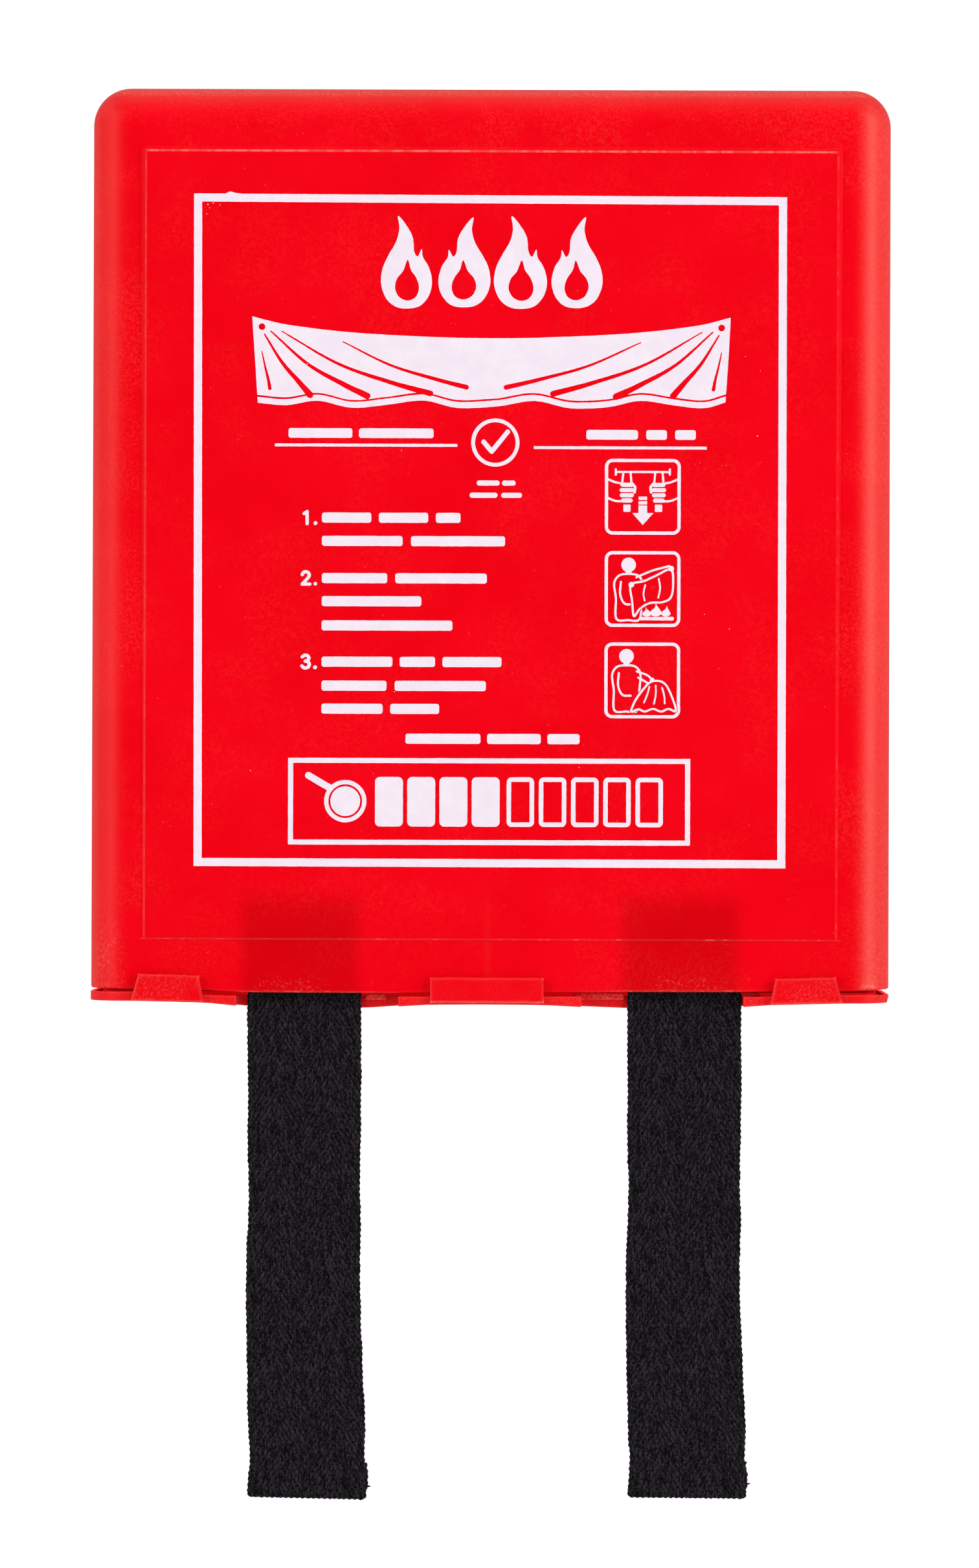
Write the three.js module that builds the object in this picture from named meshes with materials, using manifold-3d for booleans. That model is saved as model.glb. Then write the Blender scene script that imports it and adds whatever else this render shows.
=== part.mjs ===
// Wall-hung fire blanket in a rigid moulded case, with two pull tapes.
//
// Frame, in millimetres: the origin is the centre of the wall face of the back panel, +X is to the
// right of someone facing the case, +Y points into the wall and +Z is up. The front therefore
// faces -Y. Depths are distances forward of the wall, so a depth d is at y = -d.
//
// Pieces: front shell, snap-in back panel, bottom flap, three latch tabs, the folded blanket, and
// two tapes, each box-stitched to the blanket and hemmed at its free end.
import * as THREE from "three";
import { mergeVertices } from "three/addons/utils/BufferGeometryUtils.js";
import Module from "manifold-3d";

const wasm = await Module();
wasm.setup();

// ---- front shell ----
const CASE_W = 178.2;
const CASE_H = 200.8;
const CASE_BOTTOM = -100;
const CASE_TOP = CASE_BOTTOM + CASE_H;
const FACE_DEPTH = 34.6; // wall to the border round the raised panel, at the bottom edge
const FACE_DRAFT = 0.9; // the border leans back by this much over the height
const WALL = 2.0;
const CORNER_R = 9; // top corners, seen from the front
const EDGE_R = 8; // roll from the front face into the sides and the top
const INNER_HALF_W = CASE_W / 2 - WALL;
const INNER_TOP = CASE_TOP - WALL;
const INNER_CORNER_R = CORNER_R - WALL;

// The moulding and its cavity are drawn oversize, then trimmed at the wall and the bottom edge.
const OUTER_REAR = -30;
const OUTER_BELOW = 40;
const CAVITY_REAR = -50;
const CAVITY_BELOW = 60;

const PANEL_DEPTH = 35; // wall to the flat of the raised panel
const PANEL_REAR = 28;
const PANEL_HALF_W = 75.7;
const PANEL_TOP = 85.2;
const PANEL_BOTTOM = -88.3;
const PANEL_CORNER_R = 0.8;
const PANEL_SLOPE = 1.6; // 45 degree edge of the raised panel

// ---- catches between the shell and the back panel ----
const SIDE_CATCH_Z = [-62, 0, 62];
const TOP_CATCH_X = [-45, 45];
const RIB_HALF_L = 5;
const RIB_DEPTHS = [2.1, 3.4];
const RIB_PROUD = 0.9; // inward of the wall's inner face
const RIB_ROOT = 0.8; // sunk into the wall
const HOOK_HALF_L = 3.5;
const HOOK_INSET = 2.6; // shell's inner face to the inner side of a hook's stem
// Hook profile: distance outward from the inner side of the stem, depth.
const HOOK_PROFILE = [[0, 1.0], [1.4, 1.0], [1.4, 3.7], [2.3, 3.7], [1.4, 6.2], [0, 6.2]];

// ---- back panel ----
const BACK_T = 1.8;
const GAP = 0.3; // clearance between mating mouldings
const PLATE_HALF_W = INNER_HALF_W - GAP;
const PLATE_BOTTOM = CASE_BOTTOM + 0.4;
const KEYHOLE_X = 45;
const KEYHOLE_Z = 66;
const KEYHOLE_R = 4.5;
const KEYHOLE_SLOT_R = 2.2;
const KEYHOLE_SLOT_L = 10;
const BEAD_INSET = 13; // from the plate's sides and the shell's bottom edge
const BEAD_TOP_INSET = 15; // from the top of the shell
const BEAD_W = 3;
const BEAD_DEPTH = 0.7;
const BEAD_R = 7;

// ---- bottom flap ----
const FLAP_HALF_W = 88.7;
const FLAP_DEPTH = 34.8;
const FLAP_REAR = 2.5;
const FLAP_T = 1.2;
const FLAP_CORNER_R = 8.2;
const FLAP_BOTTOM = CASE_BOTTOM - 3.0;
const FLAP_TOP = CASE_BOTTOM - 1.0; // top of the flap's lip
const LIP_REAR = 4.5; // the lip stops at this depth
const NOTCH_IN = 20.3; // tape notches in the lip, from the centre line
const NOTCH_OUT = 56.3;
const NOTCH_DEPTH = 30.0; // the lip is set back to this depth at a notch

// ---- latch tabs ----
const TAB_T = 1.0;
const TAB_DEPTH = 35.2; // inner face of a latch tab
const TAB_BOTTOM = FLAP_BOTTOM + 0.4;
const TAB_TOP = CASE_BOTTOM + 3.0;
// Name, centre x, half width at the top, half width at the bottom.
const TABS = [
  ["left_latch_tab", -71, 6.8, 8.2],
  ["centre_latch_tab", 0, 12.65, 12.65],
  ["right_latch_tab", 71, 6.8, 8.2],
];

// ---- blanket: a 1 m square folded in six each way ----
const BLANKET_HALF_W = 83.3;
const BLANKET_BACK = 4.2;
const BLANKET_FRONT = 29.9;
const BLANKET_BOTTOM = CASE_BOTTOM + 1.4;
const BLANKET_TOP = BLANKET_BOTTOM + 166.6;
const BLANKET_PANELS = 6;
const FOLD_SLACK = 0.02; // taken off each fold's radius
const FOLD_STEPS = 8;

// ---- tapes and stitching ----
const TAPE_X = 42.1;
const TAPE_W = 25;
const TAPE_T = 1.2;
const TAPE_DEPTH = 31.0; // mid-thickness of a tape
const TAPE_FRONT = TAPE_DEPTH + TAPE_T / 2;
const TAPE_BACK = TAPE_DEPTH - TAPE_T / 2;
const TAPE_ROOT_TOP = CASE_BOTTOM + 19.5;
const TAPE_BEND_Z = CASE_BOTTOM - 4.2; // a tape swings about this line, just under the flap
const TAPE_BEND_GAP = 0.3; // between the root and the rounded top of the hanging part
const TAPE_END_Z = CASE_BOTTOM - 112.6;
const HEM_H = 8.6;

const STITCH_BACK = TAPE_FRONT + 0.3; // the thread stands clear of the tape
const STITCH_FRONT = STITCH_BACK + 0.3;
const BOX_STITCH_HALF_W = 9;
const BOX_STITCH_BOTTOM = CASE_BOTTOM + 3.2;
const BOX_STITCH_TOP = TAPE_ROOT_TOP - 2;
const BOX_STITCH_HALF_LINE = 0.35; // half the width of a sewn line
const HEM_STITCH_Z = TAPE_END_Z + HEM_H - 1.8;
const HEM_STITCH_HALF_H = 0.3;
const HEM_STITCH_INSET = 1.5; // from each edge of the tape

// ---- cutters ----
const OVERCUT = 5; // how far a cutter passes the face it opens
const FAR = 300; // beyond every part of the object

// ---- materials ----
const matte = (color, roughness) =>
  new THREE.MeshStandardMaterial({ color, roughness, metalness: 0 });
const redPlastic = matte(0xe60713, 0.42);
const blackTape = matte(0x1b181b, 0.9);
const blackThread = matte(0x131113, 0.75);
const glassCloth = matte(0xe9e6dc, 0.7);

// ---- solids ----
function solid(geometry) {
  const bare = geometry.index ? geometry.toNonIndexed() : geometry;
  for (const name of Object.keys(bare.attributes)) {
    if (name !== "position") bare.deleteAttribute(name);
  }
  const merged = mergeVertices(bare, 1e-4);
  return new wasm.Manifold(
    new wasm.Mesh({
      numProp: 3,
      vertProperties: new Float32Array(merged.attributes.position.array),
      triVerts: new Uint32Array(merged.index.array),
    }),
  );
}

function mesh(name, manifold, material) {
  const { vertProperties, triVerts } = manifold.getMesh();
  const geometry = new THREE.BufferGeometry();
  const positions = new Float32Array(vertProperties);
  geometry.setAttribute("position", new THREE.BufferAttribute(positions, 3));
  geometry.setIndex(new THREE.BufferAttribute(new Uint32Array(triVerts), 1));
  geometry.computeVertexNormals();
  const result = new THREE.Mesh(geometry, material);
  result.name = name;
  return result;
}

// A block given by its ranges of x, depth and z.
function box([x0, x1], [depth0, depth1], [z0, z1]) {
  return solid(
    new THREE.BoxGeometry(x1 - x0, depth1 - depth0, z1 - z0)
      .translate((x0 + x1) / 2, -(depth0 + depth1) / 2, (z0 + z1) / 2),
  );
}

// A shape drawn in (x, z), standing from depth0 to depth1 in front of the wall.
function frontalGeometry(shape, depth0, depth1, bevel = {}) {
  const thickness = bevel.bevelThickness || 0;
  return new THREE.ExtrudeGeometry(shape, {
    depth: depth1 - depth0 - 2 * thickness,
    bevelEnabled: thickness > 0,
    curveSegments: 10,
    ...bevel,
  })
    .translate(0, 0, depth0 + thickness)
    .rotateX(Math.PI / 2);
}

const frontal = (...args) => solid(frontalGeometry(...args));

// A shape drawn in (x, y), standing from height z0 to z1.
function upright(shape, z0, z1) {
  const options = { depth: z1 - z0, bevelEnabled: false, curveSegments: 8 };
  return solid(new THREE.ExtrudeGeometry(shape, options).translate(0, 0, z0));
}

// A shape drawn in (y, z), standing from x0 to x1.
function sideways(shape, x0, x1) {
  const options = { depth: x1 - x0, bevelEnabled: false, curveSegments: 6 };
  const turn = new THREE.Matrix4().set(
    0, 0, 1, x0,
    1, 0, 0, 0,
    0, 1, 0, 0,
    0, 0, 0, 1,
  );
  return solid(new THREE.ExtrudeGeometry(shape, options).applyMatrix4(turn));
}

// ---- outlines ----
function polygon(points) {
  return new THREE.Shape(points.map(([across, up]) => new THREE.Vector2(across, up)));
}

// Upright outline with rounded top corners and square bottom ones.
function doorway(half, bottom, top, r) {
  const shape = new THREE.Shape();
  shape.moveTo(-half, bottom);
  shape.lineTo(half, bottom);
  shape.lineTo(half, top - r);
  shape.absarc(half - r, top - r, r, 0, Math.PI / 2, false);
  shape.lineTo(-half + r, top);
  shape.absarc(-half + r, top - r, r, Math.PI / 2, Math.PI, false);
  shape.closePath();
  return shape;
}

function roundedRect(x0, x1, z0, z1, r) {
  const shape = new THREE.Shape();
  shape.moveTo(x0 + r, z0);
  shape.lineTo(x1 - r, z0);
  shape.absarc(x1 - r, z0 + r, r, -Math.PI / 2, 0, false);
  shape.lineTo(x1, z1 - r);
  shape.absarc(x1 - r, z1 - r, r, 0, Math.PI / 2, false);
  shape.lineTo(x0 + r, z1);
  shape.absarc(x0 + r, z1 - r, r, Math.PI / 2, Math.PI, false);
  shape.lineTo(x0, z0 + r);
  shape.absarc(x0 + r, z0 + r, r, Math.PI, 1.5 * Math.PI, false);
  shape.closePath();
  return shape;
}

// ---- case ----
// Leans the front of a moulding back towards the top.
function lean(geometry) {
  const position = geometry.attributes.position;
  for (let i = 0; i < position.count; i++) {
    const rise = (position.getZ(i) - CASE_BOTTOM) / CASE_H;
    const scale = 1 - (FACE_DRAFT / FACE_DEPTH) * rise;
    if (position.getY(i) < 0) position.setY(i, position.getY(i) * scale);
  }
  return geometry;
}

// A leaning doorway block whose front edges are rolled to a radius.
function rolledBlock(outline, rear, front, r) {
  const roll = { bevelThickness: r, bevelSize: r, bevelOffset: -r, bevelSegments: 8 };
  return solid(lean(frontalGeometry(outline, rear, front, roll)));
}

function raisedPanel() {
  const outline =
    roundedRect(-PANEL_HALF_W, PANEL_HALF_W, PANEL_BOTTOM, PANEL_TOP, PANEL_CORNER_R);
  return frontal(outline, PANEL_REAR, PANEL_DEPTH, {
    bevelThickness: PANEL_SLOPE,
    bevelSize: PANEL_SLOPE,
    bevelOffset: 0,
    bevelSegments: 1,
  });
}

function frontShell() {
  const outline = doorway(CASE_W / 2, CASE_BOTTOM - OUTER_BELOW, CASE_TOP, CORNER_R);
  const innerOutline =
    doorway(INNER_HALF_W, CASE_BOTTOM - CAVITY_BELOW, INNER_TOP, INNER_CORNER_R);
  let shell = rolledBlock(outline, OUTER_REAR, FACE_DEPTH, EDGE_R)
    .add(raisedPanel())
    .subtract(rolledBlock(innerOutline, CAVITY_REAR, FACE_DEPTH - WALL, EDGE_R - WALL))
    .subtract(box([-FAR, FAR], [-FAR, FAR], [-FAR, CASE_BOTTOM]))
    .subtract(box([-FAR, FAR], [-FAR, 0], [-FAR, FAR]));
  // catch ribs that the back panel's hooks snap past
  const near = INNER_HALF_W - RIB_PROUD;
  const far = INNER_HALF_W + RIB_ROOT;
  for (const z of SIDE_CATCH_Z) {
    for (const xRange of [[-far, -near], [near, far]]) {
      shell = shell.add(box(xRange, RIB_DEPTHS, [z - RIB_HALF_L, z + RIB_HALF_L]));
    }
  }
  for (const x of TOP_CATCH_X) {
    const zRange = [INNER_TOP - RIB_PROUD, INNER_TOP + RIB_ROOT];
    shell = shell.add(box([x - RIB_HALF_L, x + RIB_HALF_L], RIB_DEPTHS, zRange));
  }
  return shell;
}

// Round hole with a narrow slot above it: the screw head passes the hole and the case drops on
// to it.
function keyhole(x) {
  const halfMouth = Math.asin(KEYHOLE_SLOT_R / KEYHOLE_R);
  const slotTop = KEYHOLE_Z + KEYHOLE_SLOT_L;
  const hole = new THREE.Path();
  hole.absarc(x, KEYHOLE_Z, KEYHOLE_R, Math.PI / 2 - halfMouth, Math.PI / 2 + halfMouth, true);
  hole.lineTo(x - KEYHOLE_SLOT_R, slotTop);
  hole.absarc(x, slotTop, KEYHOLE_SLOT_R, Math.PI, 0, true);
  hole.closePath();
  return hole;
}

// Cutter for the stiffening bead, a shallow groove round the wall side of the back panel.
function beadCutter() {
  const ring = (inward) => {
    const half = PLATE_HALF_W - BEAD_INSET - inward;
    const bottom = CASE_BOTTOM + BEAD_INSET + inward;
    const top = CASE_TOP - BEAD_TOP_INSET - inward;
    return roundedRect(-half, half, bottom, top, BEAD_R - inward);
  };
  const bead = ring(0);
  bead.holes.push(ring(BEAD_W));
  return frontal(bead, -OVERCUT, BEAD_DEPTH);
}

function backPanel() {
  const plate = doorway(PLATE_HALF_W, PLATE_BOTTOM, INNER_TOP - GAP, INNER_CORNER_R - GAP);
  plate.holes.push(keyhole(-KEYHOLE_X), keyhole(KEYHOLE_X));
  let panel = frontal(plate, 0, BACK_T).subtract(beadCutter());
  // snap hooks: a stem with an outward barb, just inside the side and top walls
  for (const z of SIDE_CATCH_Z) {
    for (const side of [-1, 1]) {
      const hook = polygon(
        HOOK_PROFILE.map(([out, depth]) => [side * (INNER_HALF_W - HOOK_INSET + out), -depth]),
      );
      panel = panel.add(upright(hook, z - HOOK_HALF_L, z + HOOK_HALF_L));
    }
  }
  const topHook = polygon(
    HOOK_PROFILE.map(([out, depth]) => [-depth, INNER_TOP - HOOK_INSET + out]),
  );
  for (const x of TOP_CATCH_X) {
    panel = panel.add(sideways(topHook, x - HOOK_HALF_L, x + HOOK_HALF_L));
  }
  return panel;
}

// ---- flap and tabs ----
// Outline of the flap in (x, y), taken in by inset, with its rear edge at depth rear.
function flapOutline(inset, rear) {
  const half = FLAP_HALF_W - inset;
  const front = FLAP_DEPTH - inset;
  const r = FLAP_CORNER_R - inset;
  const notch = NOTCH_DEPTH - inset;
  const notchIn = NOTCH_IN - inset;
  const notchOut = NOTCH_OUT + inset;
  const shape = new THREE.Shape();
  shape.moveTo(half, -rear);
  shape.lineTo(-half, -rear);
  shape.lineTo(-half, -(front - r));
  shape.absarc(-half + r, -(front - r), r, Math.PI, 1.5 * Math.PI, false);
  shape.lineTo(-notchOut, -front);
  shape.lineTo(-notchOut, -notch);
  shape.lineTo(-notchIn, -notch);
  shape.lineTo(-notchIn, -front);
  shape.lineTo(notchIn, -front);
  shape.lineTo(notchIn, -notch);
  shape.lineTo(notchOut, -notch);
  shape.lineTo(notchOut, -front);
  shape.lineTo(half - r, -front);
  shape.absarc(half - r, -(front - r), r, 1.5 * Math.PI, 2 * Math.PI, false);
  shape.closePath();
  return shape;
}

function bottomFlap() {
  const floor = FLAP_BOTTOM + FLAP_T;
  return upright(flapOutline(0, FLAP_REAR), FLAP_BOTTOM, FLAP_TOP)
    .subtract(upright(flapOutline(FLAP_T, -OVERCUT), floor, FLAP_TOP + OVERCUT))
    .subtract(box([-FAR, FAR], [-FAR, LIP_REAR], [floor, FAR]));
}

function latchTab(x, halfTop, halfBottom) {
  const outline = polygon([
    [x - halfBottom, TAB_BOTTOM],
    [x + halfBottom, TAB_BOTTOM],
    [x + halfTop, TAB_TOP],
    [x - halfTop, TAB_TOP],
  ]);
  return frontal(outline, TAB_DEPTH, TAB_DEPTH + TAB_T);
}

// ---- blanket and tapes ----
// Six panels folded like a concertina: folds at the top join 1-2, 3-4 and 5-6, and folds at the
// bottom join 2-3 and 4-5. The free edges of the outermost panels are rounded at the bottom.
function foldedBlanket() {
  const pitch = (BLANKET_FRONT - BLANKET_BACK) / BLANKET_PANELS;
  const points = [];
  // Half circle: side 1 bulges up and runs front to back, side -1 bulges down and runs forward.
  const fold = (depth, z, radius, side) => {
    const r = side * (radius - FOLD_SLACK);
    for (let i = 0; i <= FOLD_STEPS; i++) {
      const angle = Math.PI * (i / FOLD_STEPS);
      points.push([-(depth + r * Math.cos(angle)), z + r * Math.sin(angle)]);
    }
  };
  for (let i = 0; i < BLANKET_PANELS / 2; i++) {
    fold(BLANKET_FRONT - pitch * (2 * i + 1), BLANKET_TOP - pitch, pitch, 1);
  }
  fold(BLANKET_BACK + pitch / 2, BLANKET_BOTTOM + pitch / 2, pitch / 2, -1);
  for (let i = 0; i < BLANKET_PANELS / 2 - 1; i++) {
    fold(BLANKET_BACK + pitch * (2 * i + 2), BLANKET_BOTTOM + pitch, pitch, -1);
  }
  fold(BLANKET_FRONT - pitch / 2, BLANKET_BOTTOM + pitch / 2, pitch / 2, -1);
  return sideways(polygon(points), -BLANKET_HALF_W, BLANKET_HALF_W);
}

function tapeRoot(x) {
  const bottom = TAPE_BEND_Z + TAPE_T / 2 + TAPE_BEND_GAP;
  return box(
    [x - TAPE_W / 2, x + TAPE_W / 2],
    [TAPE_BACK, TAPE_FRONT],
    [bottom, TAPE_ROOT_TOP],
  );
}

// Rectangle of sewing with a diagonal cross: a plate with four triangular holes.
function boxStitch(x) {
  const halfW = BOX_STITCH_HALF_W;
  const halfH = (BOX_STITCH_TOP - BOX_STITCH_BOTTOM) / 2;
  const z = (BOX_STITCH_BOTTOM + BOX_STITCH_TOP) / 2;
  const outline = polygon([
    [x - halfW, z - halfH],
    [x + halfW, z - halfH],
    [x + halfW, z + halfH],
    [x - halfW, z + halfH],
  ]);
  // half width of a diagonal, measured along x and along z
  const diagonal = BOX_STITCH_HALF_LINE * Math.hypot(halfW, halfH);
  const crossX = diagonal / halfH;
  const crossZ = diagonal / halfW;
  const holeW = halfW - 2 * BOX_STITCH_HALF_LINE;
  const holeH = halfH - 2 * BOX_STITCH_HALF_LINE;
  for (const side of [-1, 1]) {
    outline.holes.push(
      polygon([
        [x - holeW + crossX, z + side * holeH],
        [x + holeW - crossX, z + side * holeH],
        [x, z + side * crossZ],
      ]),
      polygon([
        [x + side * holeW, z - holeH + crossZ],
        [x + side * holeW, z + holeH - crossZ],
        [x + side * crossX, z],
      ]),
    );
  }
  return frontal(outline, STITCH_BACK, STITCH_FRONT);
}

// Hanging part of a tape: one ply, with the end turned up behind itself as a hem.
function pullTape(x) {
  const shape = new THREE.Shape();
  shape.moveTo(-TAPE_FRONT, TAPE_BEND_Z);
  shape.lineTo(-TAPE_FRONT, TAPE_END_Z + TAPE_T);
  shape.absarc(-TAPE_BACK, TAPE_END_Z + TAPE_T, TAPE_T, Math.PI, 2 * Math.PI, false);
  shape.lineTo(-TAPE_BACK + TAPE_T, TAPE_END_Z + HEM_H);
  shape.lineTo(-TAPE_BACK, TAPE_END_Z + HEM_H);
  shape.lineTo(-TAPE_BACK, TAPE_BEND_Z);
  shape.absarc(-TAPE_DEPTH, TAPE_BEND_Z, TAPE_T / 2, 0, Math.PI, false);
  shape.closePath();
  return sideways(shape, x - TAPE_W / 2, x + TAPE_W / 2);
}

function hemStitch(x) {
  const half = TAPE_W / 2 - HEM_STITCH_INSET;
  return box(
    [x - half, x + half],
    [STITCH_BACK, STITCH_FRONT],
    [HEM_STITCH_Z - HEM_STITCH_HALF_H, HEM_STITCH_Z + HEM_STITCH_HALF_H],
  );
}

// ---- assembly ----
function group(...children) {
  const result = new THREE.Group();
  for (const child of children) result.add(child);
  return result;
}

const caseGroup = group(
  mesh("front_shell", frontShell(), redPlastic),
  mesh("back_panel", backPanel(), redPlastic),
);

const flapGroup = group(
  mesh("bottom_flap", bottomFlap(), redPlastic),
  ...TABS.map(([name, ...sizes]) => mesh(name, latchTab(...sizes), redPlastic)),
);

const blanketGroup = group(mesh("folded_blanket", foldedBlanket(), glassCloth));
for (const [side, x] of [["left", -TAPE_X], ["right", TAPE_X]]) {
  blanketGroup.add(
    mesh(side + "_tape_root", tapeRoot(x), blackTape),
    mesh(side + "_box_stitch", boxStitch(x), blackThread),
    group(
      mesh(side + "_pull_tape", pullTape(x), blackTape),
      mesh(side + "_hem_stitch", hemStitch(x), blackThread),
    ),
  );
}

const fireBlanket = group(caseGroup, flapGroup, blanketGroup);
fireBlanket.name = "fire_blanket";

export default fireBlanket;
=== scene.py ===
"""A red plastic wall case holding a folded glass-cloth blanket with two black pull tapes.

The front faces -Y, +X is to the right seen from the front and +Z is up. The back is at y = 0.
Shapes are worked out in millimetres and turned into metres as each mesh is made;
materials, lights and the camera are in metres.
"""

import math

import bmesh
import bpy
import numpy as np
from mathutils import Matrix, Vector


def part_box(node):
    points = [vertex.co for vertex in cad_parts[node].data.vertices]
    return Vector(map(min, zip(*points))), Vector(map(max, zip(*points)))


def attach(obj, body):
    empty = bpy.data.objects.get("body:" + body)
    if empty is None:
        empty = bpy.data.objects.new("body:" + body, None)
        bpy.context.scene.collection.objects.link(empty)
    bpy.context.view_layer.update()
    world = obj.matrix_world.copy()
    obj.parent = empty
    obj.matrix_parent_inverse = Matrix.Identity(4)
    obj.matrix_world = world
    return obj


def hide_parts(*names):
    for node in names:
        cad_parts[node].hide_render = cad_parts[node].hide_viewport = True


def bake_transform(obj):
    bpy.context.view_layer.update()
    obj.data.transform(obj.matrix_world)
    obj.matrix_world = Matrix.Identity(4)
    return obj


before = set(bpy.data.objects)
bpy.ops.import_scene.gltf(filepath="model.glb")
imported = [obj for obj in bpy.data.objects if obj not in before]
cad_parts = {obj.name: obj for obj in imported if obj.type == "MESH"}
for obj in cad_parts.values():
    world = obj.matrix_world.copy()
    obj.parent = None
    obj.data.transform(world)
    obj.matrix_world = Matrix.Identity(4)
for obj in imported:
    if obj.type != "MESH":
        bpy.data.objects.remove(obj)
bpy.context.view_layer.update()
MM = 0.001
RNG = np.random.default_rng(41)


def box_mm(node):
    """Lowest and highest corner of a CAD node, in millimetres."""
    return [tuple(c * 1000 for c in corner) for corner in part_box(node)]


SHELL_LO, SHELL_HI = box_mm("front_shell")
HALF_WIDTH = SHELL_HI[0]
SHELL_BOTTOM, SHELL_TOP = SHELL_LO[2], SHELL_HI[2]
PANEL_Y = SHELL_LO[1]
FLAP_LO, FLAP_HI = box_mm("bottom_flap")
TAB_LO, TAB_HI = box_mm("left_latch_tab")
BLANKET_LO, BLANKET_HI = box_mm("folded_blanket")


# ------------------------------------------------------------------ mesh helpers
def new_mesh(name, verts, faces, material):
    """Smooth-shaded object from points in millimetres."""
    mesh = bpy.data.meshes.new(name)
    points = (np.asarray(verts, float) * MM).tolist()
    mesh.from_pydata(points, [], [list(map(int, face)) for face in faces])
    mesh.validate()
    mesh.update()
    mesh.polygons.foreach_set("use_smooth", [True] * len(mesh.polygons))
    made = bpy.data.objects.new(name, mesh)
    bpy.context.scene.collection.objects.link(made)
    mesh.materials.append(material)
    return made


def face_outward(made):
    bm = bmesh.new()
    bm.from_mesh(made.data)
    bmesh.ops.recalc_face_normals(bm, faces=bm.faces)
    bm.to_mesh(made.data)
    bm.free()


def grid_faces(m, n, base=0, close_v=False, flip=False):
    """Quads of an m by n grid of points, optionally joined up across its second direction."""
    i = np.arange(m - 1)[:, None]
    j = np.arange(n if close_v else n - 1)[None, :]
    j_next = (j + 1) % n
    a = base + i * n + j
    b = base + i * n + j_next
    c = base + (i + 1) * n + j_next
    d = base + (i + 1) * n + j
    return np.stack([a, d, c, b] if flip else [a, b, c, d], -1).reshape(-1, 4)


def tube_faces(rings, around, base=0):
    """A closed tube with a cap at each end."""
    last = base + (rings - 1) * around
    caps = [list(range(base, base + around))[::-1], list(range(last, last + around))]
    return grid_faces(rings, around, base, close_v=True).tolist() + caps


def slab(name, front, back, material):
    """Solid between two grids of points, closed round their borders."""
    m, n = front.shape[:2]
    size = m * n
    faces = grid_faces(m, n).tolist() + grid_faces(m, n, size, flip=True).tolist()
    rim = [i * n for i in range(m)] + [(m - 1) * n + j for j in range(1, n)]
    rim += [i * n + n - 1 for i in range(m - 2, -1, -1)] + [j for j in range(n - 2, 0, -1)]
    for a, b in zip(rim, rim[1:] + rim[:1]):
        faces.append([a, b, b + size, a + size])
    verts = np.concatenate([front.reshape(-1, 3), back.reshape(-1, 3)])
    made = new_mesh(name, verts, faces, material)
    face_outward(made)
    return made


def add_weave_uv(mesh, across, along):
    """UV map in metres: across the cloth and along it, given per vertex in millimetres."""
    layer = mesh.uv_layers.new(name="weave")
    index = np.zeros(len(mesh.loops), np.int32)
    mesh.loops.foreach_get("vertex_index", index)
    uv = np.stack([across.ravel() * MM, along.ravel() * MM], -1)
    layer.data.foreach_set("uv", uv[index].astype(np.float32).ravel())


def smoothstep(start, end, x):
    t = np.clip((x - start) / (end - start), 0, 1)
    return t * t * (3 - 2 * t)


def noise(x, y, seed):
    """Smooth value noise on arrays, one unit per cell, -1 to 1."""
    xi, yi = np.floor(x).astype(np.int64), np.floor(y).astype(np.int64)
    fx, fy = x - xi, y - yi
    fx, fy = fx * fx * (3 - 2 * fx), fy * fy * (3 - 2 * fy)

    def corner(i, j):
        key = i * 374761393 + j * 668265263 + seed * 2147483647 + 1013904223
        key = key & 0xFFFFFFFF
        key = ((key ^ (key >> 13)) * 1274126177) & 0xFFFFFFFF
        return ((key ^ (key >> 16)) & 0xFFFF) / 32767.5 - 1.0

    return (corner(xi, yi) * (1 - fx) + corner(xi + 1, yi) * fx) * (1 - fy) + (
        corner(xi, yi + 1) * (1 - fx) + corner(xi + 1, yi + 1) * fx
    ) * fy


def catmull_rom(p0, p1, p2, p3, t):
    return 0.5 * (
        2 * p1 + (p2 - p0) * t + (2 * p0 - 5 * p1 + 4 * p2 - p3) * t * t
        + (3 * p1 - p0 - 3 * p2 + p3) * t ** 3
    )


# ------------------------------------------------------------------ node helpers
def operator(operation, swapped=False):
    """A Signal method that adds one Math node."""
    def apply(signal, other=0.0):
        first, second = (other, signal) if swapped else (signal, other)
        inputs = {0: first, 1: second, 2: 0.0}
        return signal.nodes.make("ShaderNodeMath", inputs, operation=operation)

    return apply


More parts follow.
